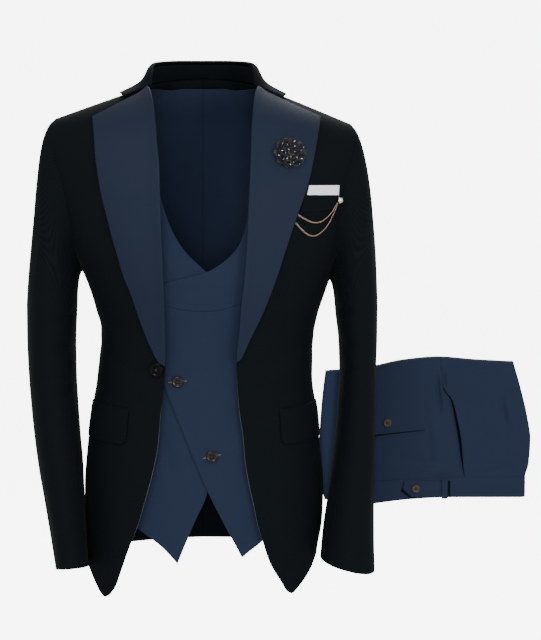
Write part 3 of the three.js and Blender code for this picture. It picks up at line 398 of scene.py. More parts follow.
def round_arrays(rings, start=None, end=None):
    """A surface through rings that close on themselves; a pole closes each end, or the last ring joins the first."""
    count, sides = rings.shape[:2]
    number = np.arange(count * sides).reshape(count, sides)
    after, before = (np.roll(number, -1, 0), number) if start is None else (number[1:], number[:-1])
    faces = np.stack([before, np.roll(before, -1, 1), np.roll(after, -1, 1), after], -1).reshape(-1, 4)
    if start is None:
        return rings.reshape(-1, 3), faces
    vertices = np.concatenate([rings.reshape(-1, 3), [start, end]])
    first, last = number[0], number[-1]
    low = np.stack([np.full(sides, count * sides), np.roll(first, -1), first, first], -1)
    high = np.stack([np.full(sides, count * sides + 1), last, np.roll(last, -1), np.roll(last, -1)], -1)
    return vertices, np.concatenate([faces, low, high])


def swept_arrays(path, normal, radius, sides=8, closed=False, flat=1.0):
    """A tube along a path: a round section, `flat` times as high along the normals, in the plane across the path."""
    ahead = np.roll(path, -1, 0) - np.roll(path, 1, 0) if closed else np.gradient(path, axis=0)
    tangent = unit(ahead)
    across = unit(np.cross(tangent, normal))
    lift = np.cross(across, tangent)
    turn = np.arange(sides) * 2 * math.pi / sides
    radius = np.broadcast_to(radius, len(path))[:, None, None]
    section = across[:, None] * np.cos(turn)[:, None] + lift[:, None] * np.sin(turn)[:, None] * flat
    rings = path[:, None] + radius * section
    return round_arrays(rings) if closed else round_arrays(rings, path[0], path[-1])


def joined(parts):
    """Several (vertices, faces) pairs as one."""
    offsets = np.cumsum([0] + [len(v) for v, _ in parts[:-1]])
    return np.concatenate([v for v, _ in parts]), np.concatenate([f + o for (_, f), o in zip(parts, offsets)])


def volume_of(vertices, faces):
    a, b, c, d = (vertices[faces[:, i]] for i in range(4))
    return float((a * np.cross(b, c)).sum() + (a * np.cross(c, d)).sum())


def make_mesh(name, vertices, faces, material, places=None, turn_out=True):
    """A mesh object in metres from vertices in millimetres and quads; a quad with a repeated last corner is a
    triangle. Its faces are turned out by the sign of its volume, and `places` becomes its UV map, in metres."""
    if turn_out and volume_of(vertices, faces) < 0:
        faces = faces[:, ::-1]
    triangle = np.zeros(len(faces), bool)
    for i in range(4):
        triangle |= faces[:, i] == faces[:, (i + 1) % 4]
    polygons = [list(dict.fromkeys(face)) if short else face for face, short in zip(faces.tolist(), triangle)]
    mesh = bpy.data.meshes.new(name)
    mesh.from_pydata((vertices * MM).tolist(), [], polygons)
    mesh.validate()
    mesh.polygons.foreach_set("use_smooth", np.ones(len(mesh.polygons), bool))
    if places is not None:
        corner = np.empty(len(mesh.loops), np.int32)
        mesh.loops.foreach_get("vertex_index", corner)
        layer = mesh.uv_layers.new(name="cloth")
        layer.data.foreach_set("uv", (places[corner] * MM).astype(np.float32).ravel())
    mesh.update()
    obj = bpy.data.objects.new(name, mesh)
    bpy.context.scene.collection.objects.link(obj)
    obj.data.materials.append(material)
    return obj


def dress(obj, slot, *nodes):
    """Fastens a piece to the one body and hides the solids it stands for."""
    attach(obj, BODY)
    if nodes:
        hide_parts(*nodes)
    return obj


def cut_size(points):
    """The flat cut of a grid: its greatest width and length along the cloth, and its area, in metres."""
    width = arc(points, 1)[:, -1].max() * MM
    length = arc(points, 0)[-1].max() * MM
    across, up = points[1:, 1:] - points[:-1, :-1], points[1:, :-1] - points[:-1, 1:]
    area = np.linalg.norm(np.cross(across, up), axis=-1).sum() / 2 * MM * MM
    return (float(width), float(length)), float(area)


NARROWEST_CUT = 0.0101  # metres: loops and welts are cut wider than they show


def cloth(name, grid, outer, inner, material, slot, node=None, held="hung", on_what=(), gap=SEAM, bulge=0.7, also=()):
    """One cut piece: a closed wall on a grid of (points, normals); its flat size and area are worked out but not
    used.
    """
    points, normals = grid
    vertices, faces, places = wall_arrays(points, normals, outer, inner, gap, bulge)
    obj = make_mesh(name, vertices, faces, material, places)
    dress(obj, slot, *([node] if node else []))
    flat, area = cut_size(points)
    flat = tuple(max(side, NARROWEST_CUT) for side in flat)
    area = min(max(area, 0.31 * flat[0] * flat[1]), flat[0] * flat[1])
    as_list(on_what)
    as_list(also)
    return obj


# Shader groups


class Wires:
    """Places and joins shader nodes in one tree."""

    def __init__(self, tree):
        self.tree = tree

    def node(self, kind, **settings):
        made = self.tree.nodes.new(kind)
        for key, value in settings.items():
            setattr(made, key, value)
        return made

    def feed(self, socket, value):
        if isinstance(value, bpy.types.NodeSocket):
            self.tree.links.new(value, socket)
        elif value is not None:
            socket.default_value = value

    def math(self, operation, a, b=None, c=None, clamp=False):
        made = self.node("ShaderNodeMath", operation=operation, use_clamp=clamp)
        for socket, value in zip(made.inputs, (a, b, c)):
            self.feed(socket, value)
        return made.outputs[0]

    def wave(self, a):
        """Half of one plus the sine: a round ridge and furrow between 0 and 1."""
        return self.math("MULTIPLY_ADD", self.math("SINE", a), 0.5, 0.5)

    def mix(self, share, a, b):
        made = self.node("ShaderNodeMix", data_type="RGBA")
        for name, value in (("Factor", share), ("A", a), ("B", b)):
            for socket in made.inputs:
                wanted = "RGBA" if name != "Factor" else "VALUE"
                if socket.name == name and socket.type == wanted:
                    self.feed(socket, value)
        return next(s for s in made.outputs if s.type == "RGBA")


def shader_group(name, inputs, outputs, build):
    """A node group with named inputs (name, kind, default) and outputs (name, kind), filled in by `build`."""
    tree = bpy.data.node_groups.new(name, "ShaderNodeTree")
    for label, kind, default in inputs:
        socket = tree.interface.new_socket(label, in_out="INPUT", socket_type=f"NodeSocket{kind}")
        if default is not None:
            socket.default_value = default
    for label, kind in outputs:
        tree.interface.new_socket(label, in_out="OUTPUT", socket_type=f"NodeSocket{kind}")
    wires = Wires(tree)
    source = wires.node("NodeGroupInput").outputs
    results = build(wires, {label: source[label] for label, _, _ in inputs})
    sink = wires.node("NodeGroupOutput").inputs
    for label, value in results.items():
        wires.feed(sink[label], value)
    return tree


def repeats(w, given):
    """The place in the cloth, across and along, counted in repeats of its weave."""
    split = w.node("ShaderNodeSeparateXYZ")
    w.feed(split.inputs[0], given["Place"])
    return [w.math("DIVIDE", split.outputs[axis], given["Repeat"]) for axis in (0, 1)]


def diamond_weave(w, given):
    """Bird's-eye twill: two sets of slanting ribs, one each way, whose crossings stand up as small diamonds. Shade
    is 0 in the furrows and 1 on the crossings."""
    u, v = repeats(w, given)
    rising = w.wave(w.math("MULTIPLY", w.math("ADD", u, v), math.tau))
    falling = w.wave(w.math("MULTIPLY", w.math("SUBTRACT", u, v), math.tau))
    diamonds = w.math("MULTIPLY", rising, falling)
    yarn = w.wave(w.math("MULTIPLY", w.math("ADD", u, w.math("MULTIPLY", v, 0.5)), math.tau * 4))
    return {"Shade": diamonds, "Height": w.math("MULTIPLY_ADD", yarn, 0.3, diamonds)}


def twill_weave(w, given):
    """Twill: one set of fine slanting ribs broken by the yarns that cross them."""
    u, v = repeats(w, given)
    slant = w.math("ADD", u, w.math("MULTIPLY", v, given["Slant"]))
    ribs = w.wave(w.math("MULTIPLY", slant, math.tau))
    breaks = w.wave(w.math("MULTIPLY", w.math("SUBTRACT", v, w.math("MULTIPLY", u, 0.5)), math.tau * 2))
    return {"Shade": ribs, "Height": w.math("MULTIPLY_ADD", breaks, 0.35, ribs)}


def cloth_mottle(w, given):
    """Uneven tone of real cloth: broad soft patches, and fine fibres that stand off the face."""
    made = {}
    for output, scale, detail in (("Patch", "Patches", 3), ("Fibre", "Fibres", 2)):
        noise = w.node("ShaderNodeTexNoise")
        w.feed(noise.inputs["Vector"], given["Place"])
        w.feed(noise.inputs["Scale"], given[scale])
        noise.inputs["Detail"].default_value = detail
        made[output] = noise.outputs[0]
    return made


GROUPS = {}


def build_groups():
    weave_outputs = [("Shade", "Float"), ("Height", "Float")]
    GROUPS["diamond"] = shader_group(
        "Diamond weave",
        [("Place", "Vector", None), ("Repeat", "Float", 0.0028)],
        weave_outputs,
        diamond_weave,
    )
    GROUPS["twill"] = shader_group(
        "Twill weave",
        [("Place", "Vector", None), ("Repeat", "Float", 0.0009), ("Slant", "Float", 1.0)],
        weave_outputs,
        twill_weave,
    )
    GROUPS["mottle"] = shader_group(
        "Cloth mottle",
        [("Place", "Vector", None), ("Patches", "Float", 14.0), ("Fibres", "Float", 1800.0)],
        [("Patch", "Float"), ("Fibre", "Float")],
        cloth_mottle,
    )


MATERIALS = {}


def start_material(name, **principled):
    material = bpy.data.materials.new(name)
    material.use_nodes = True
    tree = material.node_tree
    shader = tree.nodes["Principled BSDF"]
    for key, value in principled.items():
        shader.inputs[key.replace("_", " ")].default_value = value
    MATERIALS[name] = material
    return Wires(tree), shader


def use_group(w, key, **values):
    made = w.node("ShaderNodeGroup")
    made.node_tree = GROUPS[key]
    for label, value in values.items():
        w.feed(made.inputs[label], value)
    return made.outputs


def cloth_material(name, weave, repeat, dark, light, roughness, bump, sheen, specular=0.08, slant=1.0):
    """Woven cloth: the weave's shade mixes two near colours, mottled by broad patches; its height makes a bump."""
    w, shader = start_material(name)
    place = w.node("ShaderNodeUVMap", uv_map="cloth").outputs[0]
    extra = {"Slant": slant} if weave == "twill" else {}
    woven = use_group(w, weave, Place=place, Repeat=repeat, **extra)
    mottle = use_group(w, "mottle", Place=w.node("ShaderNodeTexCoord").outputs["Object"])
    patch = w.math("MULTIPLY_ADD", mottle["Patch"], 0.5, 0.75)
    share = w.math("MULTIPLY", woven["Shade"], patch, clamp=True)
    w.feed(shader.inputs["Base Color"], w.mix(share, (*dark, 1), (*light, 1)))
    w.feed(shader.inputs["Roughness"], w.math("MULTIPLY_ADD", mottle["Patch"], 0.12, roughness - 0.06))
    height = w.math("MULTIPLY_ADD", mottle["Fibre"], 0.25, woven["Height"])
    raised = w.node("ShaderNodeBump")
    raised.inputs["Strength"].default_value = bump
    raised.inputs["Distance"].default_value = 0.0003
    w.feed(raised.inputs["Height"], height)
    w.feed(shader.inputs["Normal"], raised.outputs[0])
    shader.inputs["Sheen Weight"].default_value = sheen
    shader.inputs["Sheen Roughness"].default_value = 0.4
    shader.inputs["Specular IOR Level"].default_value = specular


def hard_material(name, dark, light, roughness, metallic=0.0, specular=0.5, scale=220.0):
    """Horn, metal or glass: a swirl of two near colours, with a little uneven polish."""
    w, shader = start_material(name, Metallic=metallic)
    shader.inputs["Specular IOR Level"].default_value = specular
    place = w.node("ShaderNodeTexCoord").outputs["Object"]
    mottle = use_group(w, "mottle", Place=place, Patches=scale, Fibres=4000.0)
    w.feed(shader.inputs["Base Color"], w.mix(mottle["Patch"], (*dark, 1), (*light, 1)))
    w.feed(shader.inputs["Roughness"], w.math("MULTIPLY_ADD", mottle["Patch"], 0.1, roughness))


def build_materials(colours):
    black, navy = colours.black_cloth, colours.navy_cloth

    def shade(colour, amount):
        return tuple(c * amount for c in colour)

    cloth_material(
        "black worsted", "diamond", 0.0046, shade(black, 1.12), shade(black, 2.0),
        roughness=0.85, bump=0.25, sheen=0.01, specular=0.06,
    )
    cloth_material(
        "navy facing", "twill", 0.0007, shade(navy, 0.66), shade(navy, 0.78),
        roughness=0.55, bump=0.15, sheen=0.01, specular=0.1, slant=0.6,
    )
    cloth_material(
        "navy worsted", "twill", 0.0010, shade(navy, 0.86), shade(navy, 1.1),
        roughness=0.7, bump=0.4, sheen=0.02,
    )
    cloth_material(
        "white linen", "twill", 0.0008, (0.84, 0.82, 0.9), (0.93, 0.92, 0.97),
        roughness=0.8, bump=0.3, sheen=0.1, slant=0.0,
    )
    cloth_material(
        "black ribbon", "twill", 0.0006, (0.006, 0.006, 0.008), (0.02, 0.02, 0.026),
        roughness=0.45, bump=0.3, sheen=0.25, specular=0.4,
    )
    hard_material("pale piping", (0.13, 0.115, 0.13), (0.19, 0.17, 0.19), 0.7, scale=900.0)
    hard_material("black horn", (0.0008, 0.0008, 0.001), (0.0022, 0.0022, 0.0026), 0.12, specular=0.12)
    hard_material("dark horn", (0.0016, 0.001, 0.001), (0.009, 0.004, 0.0036), 0.1, specular=0.45)
    hard_material("grey horn", (0.03, 0.024, 0.021), (0.056, 0.045, 0.04), 0.35, specular=0.25)
    hard_material("gilt", (0.34, 0.24, 0.18), (0.68, 0.5, 0.4), 0.24, metallic=1.0)
    hard_material("pale gold", (0.72, 0.7, 0.52), (0.88, 0.86, 0.7), 0.2, metallic=1.0)
    hard_material("pale bead", (0.3, 0.3, 0.31), (0.55, 0.55, 0.56), 0.2)
    hard_material("brown silk", (0.02, 0.012, 0.01), (0.16, 0.11, 0.1), 0.35, scale=1500.0)
    hard_material("thread", (0.008, 0.008, 0.01), (0.02, 0.02, 0.024), 0.6, scale=900.0)


# Armholes

TOP_OF_OVAL = math.radians(4)
FRONT_SEAM_TURN = math.radians(128)
BACK_SEAM_TURN = math.radians(226)
FULL_TURN = 2 * math.pi
CROWN_FRONT = lerp(FRONT_SEAM_TURN, TOP_OF_OVAL, 6 / 7)  # from here the cloth runs straight to the crown
CROWN_BACK = lerp(BACK_SEAM_TURN, FULL_TURN - TOP_OF_OVAL, 5 / 6)


def armhole(side, turn, oval):
    """The armhole is an oval in side view laid on the form: turn 0 is its top, 90 degrees its front. The angle round
    the body is found by halving."""
    high_z, low_z, half_depth = oval
    turn = np.asarray(turn, float)
    z = (high_z + low_z) / 2 + (high_z - low_z) / 2 * np.cos(turn)
    wanted = half_depth * np.abs(np.sin(turn))
    behind = np.sin(turn) < 0
    low = np.full(turn.shape, math.radians(8))
    high = np.full(turn.shape, math.pi / 2)
    for _ in range(40):
        angle = (low + high) / 2
        p = spot(side, np.where(behind, math.pi - angle, angle), z)
        deeper = np.abs(p[..., 1] - form_centre(z)) > wanted
        low, high = np.where(deeper, angle, low), np.where(deeper, high, angle)
    angle = np.where(behind, math.pi - low, low)
    return angle, level_of(side, angle, z)


def progress(turn, start):
    return (np.cos(turn) - math.cos(start)) / (math.cos(TOP_OF_OVAL) - math.cos(start))


def crowned(side, turn, oval, front_from=CROWN_FRONT, back_from=CROWN_BACK):
    """The armhole's rim, which leaves the oval near its top and climbs to the crown on the shoulder line."""
    angle, level = armhole(side, turn, oval)
    front_share = np.clip((front_from - turn) / (front_from - TOP_OF_OVAL), 0, 1)
    back_share = np.clip((turn - back_from) / (FULL_TURN - TOP_OF_OVAL - back_from), 0, 1)
    return angle, lerp(level, 1, np.where(turn < math.pi, front_share, back_share))


# Jacket body

RIGHT.edge = columns(
    "z x",
    (-702, 135.5), (-700, 132), (-693, 126.5), (-683, 120.5), (-670, 116), (-640, 106), (-618, 98), (-597, 90),
    (-569, 82), (-541, 74), (-513, 67), (-486, 62), (-450, 59), (-423, 56), (-386, 52), (-360, 51), (-308, 52),
    (-257, 54), (-190, 57), (-136, 59), (-104, 60), (-77, 63), (-50, 65), (-20, 68), (-4, 72), (1, 76), (3.4, 79),
)
LEFT.edge = columns(
    "z x",
    (-695.5, 122.5), (-693.5, 118.5), (-689, 115), (-680, 110), (-672, 105.3), (-661, 98.7), (-648, 92), (-634, 87),
    (-622, 83.5), (-593, 75), (-568, 70), (-541, 64), (-507, 58), (-472, 55), (-439, 50), (-400, 47), (-360, 46),
    (-318, 50), (-291, 52), (-257, 56), (-203, 60), (-158, 62), (-104, 65), (-77, 66), (-50, 67), (-20, 69),
    (-4, 72), (1, 76), (3.4, 79),
)
for side in SIDES:
    side.edge = track(side.edge, "z", "x")
NAPE = 14


def edge_angle(side, level):
    """The angle of the front edge, given as seen from the front, at a level."""
    angle = np.full(np.shape(level), math.radians(20))
    for _ in range(12):
        z = height_of(side, angle, level)
        angle = seen(side, side.edge(z), z)[0]
    return angle


def front_grid(side, step):
    """A jacket front: rows from the hem to the foot of the armhole, then up its front, each from the edge outward."""
    foot_angle, foot_level = armhole(side, FRONT_SEAM_TURN, side.armhole)
    tip = level_of(side, 0.0, side.tip)

    def hem_at(angle):
        return level_of(side, angle, side.hem(np.degrees(angle)))

    low = shares(450, step)
    turn = lerp(FRONT_SEAM_TURN, TOP_OF_OVAL, shares(240, step)[1:])
    rim_angle, rim_level = crowned(side, turn, side.armhole)
    inner = np.concatenate([lerp(tip, foot_level, low), lerp(foot_level, 1, progress(turn, FRONT_SEAM_TURN))])
    outer_angle = np.concatenate([np.full(len(low), foot_angle), rim_angle])
    outer_level = np.concatenate([lerp(hem_at(foot_angle), foot_level, low), rim_level])
    u = shares(190, step)[None]
    start, end = edge_angle(side, inner)[:, None], outer_angle[:, None]
    angle = lerp(start, end, u)
    near_hem = np.concatenate([(1 - low) ** 2, np.zeros(len(turn))])[:, None]
    bend = hem_at(angle) - lerp(hem_at(start), hem_at(end), u)
    return on(side, angle, lerp(inner[:, None], outer_level[:, None], u) + bend * near_hem)


def side_grid(side, step):
    """The side body between the front and the back, from the hem to the foot of the armhole."""
    t = shares(130, step)[None]
    v = shares(450, step)[:, None]
    head_angle, head_level = armhole(side, lerp(FRONT_SEAM_TURN, BACK_SEAM_TURN, t), side.armhole)
    straight = lerp(head_angle[:, :1], head_angle[:, -1:], t)
    hem = level_of(side, straight, side.hem(np.degrees(straight)))
    return on(side, lerp(straight, head_angle, v * v), lerp(hem, head_level, v))


def back_top(side, angle, nape):
    x = np.minimum(NECK_HALF, side.half(0.0) * np.sin(angle) ** SQUARENESS)
    z = lerp(nape, NECK_RISE + 0.6, (x / NECK_HALF) ** 2)
    return np.minimum(1, level_of(side, angle, z))


def back_grid(side, oval, seam_turn, crown_from, hem, nape, depth, step, relief):
    """A back: rows from the hem to the foot of the armhole, then up its back, each from the centre back outward."""
    foot_angle, foot_level = armhole(side, seam_turn, oval)
    low = shares(440, step)
    turn = lerp(seam_turn, FULL_TURN - TOP_OF_OVAL, shares(240, step)[1:])
    rim_angle, rim_level = crowned(side, turn, oval, back_from=crown_from)
    tip_angle = rim_angle[-1]
    neck_angle = math.pi - math.asin((NECK_HALF / side.half(0.0)) ** (1 / SQUARENESS))
    neck = (math.pi - neck_angle) / (math.pi - tip_angle)
    u = np.concatenate([shares(85, step) * neck, lerp(neck, 1, shares(110, step)[1:])])[None]
    t = np.concatenate([low, np.ones(len(turn))])[:, None]
    rise = np.concatenate([np.zeros(len(low)), progress(turn, seam_turn)])[:, None]
    outer_angle = np.concatenate([np.full(len(low), foot_angle), rim_angle])[:, None]
    outer_level = np.concatenate([np.full(len(low), foot_level), rim_level])[:, None]
    angle = lerp(math.pi, outer_angle, u)
    bottom = level_of(side, angle, hem(np.degrees(angle)))
    top = back_top(side, angle, nape)
    climb = lerp(foot_level, top, rise)
    upper = lerp(climb, np.minimum(outer_level, top), u**3)
    level = np.where(rise == 0, lerp(bottom, foot_level, t), upper)
    points, normals = on(side, angle, level, relief)
    return points - normals * depth(level)[..., None], normals


# Lapels

RIGHT.lapel = columns(
    "z x",
    (-372, 59), (-362, 65), (-335, 77), (-307, 87), (-280, 96), (-253, 107), (-226, 115), (-199, 123), (-172, 130),
    (-145, 137), (-118, 142), (-91, 146), (-64, 148), (-40, 151),
)
LEFT.lapel = columns(
    "z x",
    (-366, 51), (-362, 53), (-334, 66), (-307, 79), (-280, 90), (-253, 100), (-225, 109), (-198, 118), (-172, 127),
    (-145, 137), (-118, 145), (-91, 151), (-70, 155), (-40, 161),
)
for side in SIDES:
    side.lapel = track(side.lapel, "z", "x")
RIGHT.lapel_foot = -372
LEFT.lapel_foot = -366
PEAK = -40
GORGE_TOP = 0
OVERHANG = 1.4
ROLL_REACH = 9


def lapel_grid(side, step):
    """A lapel lies on its front from the roll line to its outer edge, and rises to a soft roll at that line."""
    v = (1 - (1 - shares(390, step)) ** 1.5)[:, None]
    u = shares(92, step)[None]
    in_z = lerp(side.lapel_foot - 4, GORGE_TOP, v)
    out_z = lerp(side.lapel_foot, PEAK, v)
    in_x = side.edge(in_z) - OVERHANG
    out_x = side.lapel(out_z)
    points, normals = on_front(side, lerp(in_x, out_x, u), lerp(in_z, out_z, u))
    roll = LAPEL_ROLL * np.exp(-(((out_x - in_x) * u / ROLL_REACH) ** 2))
    return points + normals * roll[..., None], normals


# Collar

COLLAR = columns(
    "at creaseX creaseY creaseZ edgeX edgeY swell baseX baseY baseZ",
    (0, 0, 61, 38, 0, 72.5, 3.4, 0, 67.4, 14.7),
    (0.2, 29, 58, 38, 36, 72.5, 3.4, 33, 66.6, 13),
    (0.4, 52, 45, 37, 72, 57, 1.6, 56, 50.5, 9.8),
    (0.6, 67, 27, 35, 97, 42, -3.5, 72, 25.5, 6.7),
    (0.75, 72, 11, 30, 109, 20, -8.5, 79.5, 8.5, 4.8),
    (0.88, 73, -6, 20, 114, -3, -7, 78, -4.5, 4),
    (0.95, 73.5, -16, 11, 112.5, -12, -4, 77, -12, 3.1),
    (1, 74, -22, 4.5, 109, -27, 0, 75.5, -18, 2),
)
COLLAR_WALL = 2.2
COLLAR_LIFT = 2.9


def overhead(side, x, y, off):
    """The shoulder's surface over a place given as it is seen from above, found by halving, moved out by `off`."""
    reach = np.abs(y - form_centre(0.0))
    behind = y > form_centre(0.0)

    def turned(z):
        angle = seen(side, x, z)[0]
        return np.where(behind, math.pi - angle, angle)

    high = shoulder_line(side, np.abs(x))
    low = np.full(np.shape(x), float(CHEST_LEVEL))
    for _ in range(30):
        z = (high + low) / 2
        inside = np.abs(spot(side, turned(z), z)[..., 1] - form_centre(z)) < reach
        high, low = np.where(inside, z, high), np.where(inside, low, z)
    angle = turned(low)
    points, normals = on(side, angle, level_of(side, angle, low), no_relief)
    return points + normals * off


def collar_stations(count):
    """Crease, leaf edge, stand foot and outward direction at each station, from the right gorge round to the left."""
    t = np.linspace(0, 1, count)
    along = np.abs(2 * t - 1)
    sign = np.where(t < 0.5, -1.0, 1.0)
    get = {name: track(COLLAR, "at", name)(along) for name in COLLAR if name != "at"}
    crease = stacked(sign * get["creaseX"], get["creaseY"], get["creaseZ"])
    x = sign * get["edgeX"]
    right, left = (overhead(side, x, get["edgeY"], COLLAR_LIFT) for side in SIDES)
    edge = np.where((x < 0)[:, None], right, left)
    base = stacked(sign * get["baseX"], get["baseY"], get["baseZ"])
    out = unit((edge - crease) * (1, 1, 0))
    return crease, edge, base, out, get["swell"][:, None]


def bend_through(knots, shares_along):
    """A centripetal Catmull-Rom curve through a list of points for each station, sampled at shares of its length."""
    first, last = 2 * knots[0] - knots[1], 2 * knots[-1] - knots[-2]
    line = [first, *knots, last]
    spans = len(knots) - 1
    rows = []
    for share in shares_along:
        k = min(int(share * spans), spans - 1)
        w = share * spans - k
        a, b, c, d = line[k : k + 4]
        ab, bc, cd = (np.linalg.norm(q - p, axis=-1, keepdims=True) ** 0.5 for p, q in ((a, b), (b, c), (c, d)))
        t1 = ((b - a) / ab - (c - a) / (ab + bc) + (c - b) / bc) * bc
        t2 = ((c - b) / bc - (d - b) / (bc + cd) + (d - c) / cd) * bc
        rows.append(b + t1 * w + (3 * (c - b) - 2 * t1 - t2) * w**2 + (2 * (b - c) + t1 + t2) * w**3)
    return np.stack(rows, 1)


UP = np.array([0.0, 0.0, 1.0])


def collar_leaf_grid(step):
    crease, edge, _, out, swell = collar_stations(len(shares(330, step)))
    inside = crease - out * 2.4 - UP * 1.5
    shoulder = crease + out * 3 - UP * 2
    bend = lerp(shoulder, edge, 0.5) + out * swell
    points = bend_through([inside, crease, shoulder, bend, edge], shares(58, step * 0.7))
    return points, normals_of(points, 1)


def collar_stand_grid(step):
    crease, _, base, out, _ = collar_stations(len(shares(330, step)))
    head = crease - out * 2.4 - UP * 4.6
    middle = lerp(base, head, 0.5) - out * 0.6
    points = bend_through([base, middle, head], shares(28, step * 0.7))
    return points, normals_of(points, -1)


# Sleeves

SLEEVE = "at outX outZ inX inZ middle depth tilt"
RIGHT.sleeve = columns(
    SLEEVE,
    (0, 246, -300, 175.5, -306, -4, 66, 0),
    (0.13, 245.5, -345, 177, -348, -8, 64, 0.02),
    (0.25, 243.5, -390, 176.5, -390, -12, 62, 0.04),
    (0.38, 240, -435, 174, -435, -17, 60, 0.07),
    (0.5, 235.5, -478, 171, -476, -23, 59, 0.09),
    (0.63, 229.5, -522, 167, -520, -30, 58, 0.11),
    (0.75, 221.5, -566, 165, -562, -37, 57, 0.12),
    (0.88, 212.5, -617, 162.5, -612, -45, 56, 0.13),
    (1, 204.5, -665, 159, -661, -52, 55, 0.14),
)
LEFT.sleeve = columns(
    SLEEVE,
    (0, 243.5, -300, 185.5, -315, -4, 66, 0),
    (0.13, 243, -345, 189.5, -352, -8, 64, 0.02),
    (0.25, 241.5, -390, 190.5, -391, -12, 62, 0.04),
    (0.38, 240.5, -435, 188.5, -432, -17, 60, 0.06),
    (0.5, 239.5, -478, 185.5, -474, -22, 59, 0.08),
    (0.63, 239, -522, 181, -517, -27, 57, 0.09),
    (0.75, 238.5, -567, 174.5, -562, -32, 55, 0.1),
    (0.88, 238.5, -619, 167.5, -608, -37, 53, 0.04),
    (1, 239.5, -668, 163.5, -650, -41, 51, -0.06),
)
for side in SIDES:
    side.sleeve_curves = {name: track(side.sleeve, "at", name) for name in side.sleeve if name != "at"}
FOOT_REACH = 26
ARMHOLE_GAP = -0.2
RIM_OVERLAP = 2.6  # the sleeve starts this far inside the body, so that no light passes the seam
SLEEVE_GIRTH = 1.0  # millimetres of cloth for each degree round the sleeve

# Creases of the sleeves: from and to a turn in degrees (0 the outer side, 90 the front, 180 the inner side, -90 the
# back) and a height, then width, height and bow
SLEEVE_CREASES = {
    "right": (
        (60, -330, 176, -300, 7, -1.8, 4),
        (70, -372, 190, -352, 8, -2.2, -5),
        (40, -398, 176, -392, 7, -2.0, 5),
        (84, -428, 190, -414, 8, -1.6, -4),
        (58, -458, 160, -462, 9, -1.3, 4),
        (30, -352, 120, -338, 9, 1.2, 4),
        (44, -416, 150, -404, 9, 1.3, -4),
        (-120, -372, -30, -400, 10, -1.8, 6),
        (-128, -408, -24, -424, 9, -2.0, -5),
        (-132, -440, -40, -452, 10, -1.4, 5),
        (-110, -330, -40, -352, 11, -1.3, -6),
        (18, -150, 8, -300, 13, -1.1, 8),
        (46, -140, 40, -260, 11, -1.3, -6),
        (-48, -150, -40, -280, 12, -1.4, 6),
        (30, -640, 22, -520, 10, -1.0, 6),
        (100, -648, 96, -500, 12, 1.1, -6),
        (-60, -660, -70, -540, 12, -1.2, 6),
        (150, -640, 140, -540, 10, -1.1, -5),
    ),
    "left": (
        (64, -322, 180, -300, 8, -1.7, -4),
        (52, -358, 184, -344, 7, -2.1, 5),
        (70, -392, 192, -386, 8, -2.0, -5),
        (44, -424, 170, -418, 8, -1.7, 4),
        (78, -456, 168, -446, 9, -1.2, -4),
        (36, -340, 132, -328, 9, 1.3, -4),
        (50, -404, 158, -400, 9, 1.2, 4),
        (-118, -366, -28, -388, 10, -1.9, -6),
        (-130, -402, -36, -420, 9, -1.8, 5),
        (-126, -436, -30, -446, 10, -1.5, -5),
        (-112, -326, -44, -344, 11, -1.2, 6),
        (20, -156, 10, -290, 12, -1.2, -8),
        (50, -146, 42, -266, 12, -1.1, 6),
        (-46, -154, -42, -284, 11, -1.3, -6),
        (34, -636, 28, -516, 11, -1.1, -6),
        (102, -640, 94, -508, 11, 1.2, 6),
        (-64, -652, -66, -536, 12, -1.1, -6),
        (152, -630, 146, -536, 9, -1.0, 5),
    ),
}


def sleeve_ring(side, at, turn):
    """Sections of the arm: an oval between its outer and inner side, leaning up toward its front edge."""
    get = {name: curve(at) for name, curve in side.sleeve_curves.items()}
    c = np.sign(np.cos(turn)) * np.abs(np.cos(turn)) ** 0.92
    s = np.sign(np.sin(turn)) * np.abs(np.sin(turn)) ** 0.92
    x = lerp(get["inX"], get["outX"], (1 + c) / 2)
    lean = get["depth"] * s
    z = lerp(get["inZ"], get["outZ"], (1 + c) / 2) + get["tilt"] * lean
    return stacked(side.sign * x, get["middle"] - lean, z)


def armhole_rim(side, turn):
    """Start of the sleeve just inside the armhole, within the body's wall; near the top it closes on the crown."""
    ahead = np.abs(np.where(turn > math.pi, turn - FULL_TURN, turn))
    front_edge, back_edge = CROWN_FRONT, FULL_TURN - CROWN_BACK
    forward = (turn >= 0) & (turn <= math.pi)
    last = np.where(forward, front_edge, back_edge)
    eased = np.where(ahead < last, TOP_OF_OVAL + ahead * (last - TOP_OF_OVAL) / last, ahead)
    placed = np.where(forward, eased, FULL_TURN - eased)
    points, normals = on(side, *crowned(side, placed, side.armhole))
    hub = stacked(points[..., 0], form_centre(points[..., 2]), sum(side.armhole[:2]) / 2)
    inward = unit(hub - points)
    into = unit(inward - normals * (inward * normals).sum(-1, keepdims=True))
    return points + into * ARMHOLE_GAP - normals * (0.5 * smooth(np.cos(turn), 0.2, 0.9))[..., None]


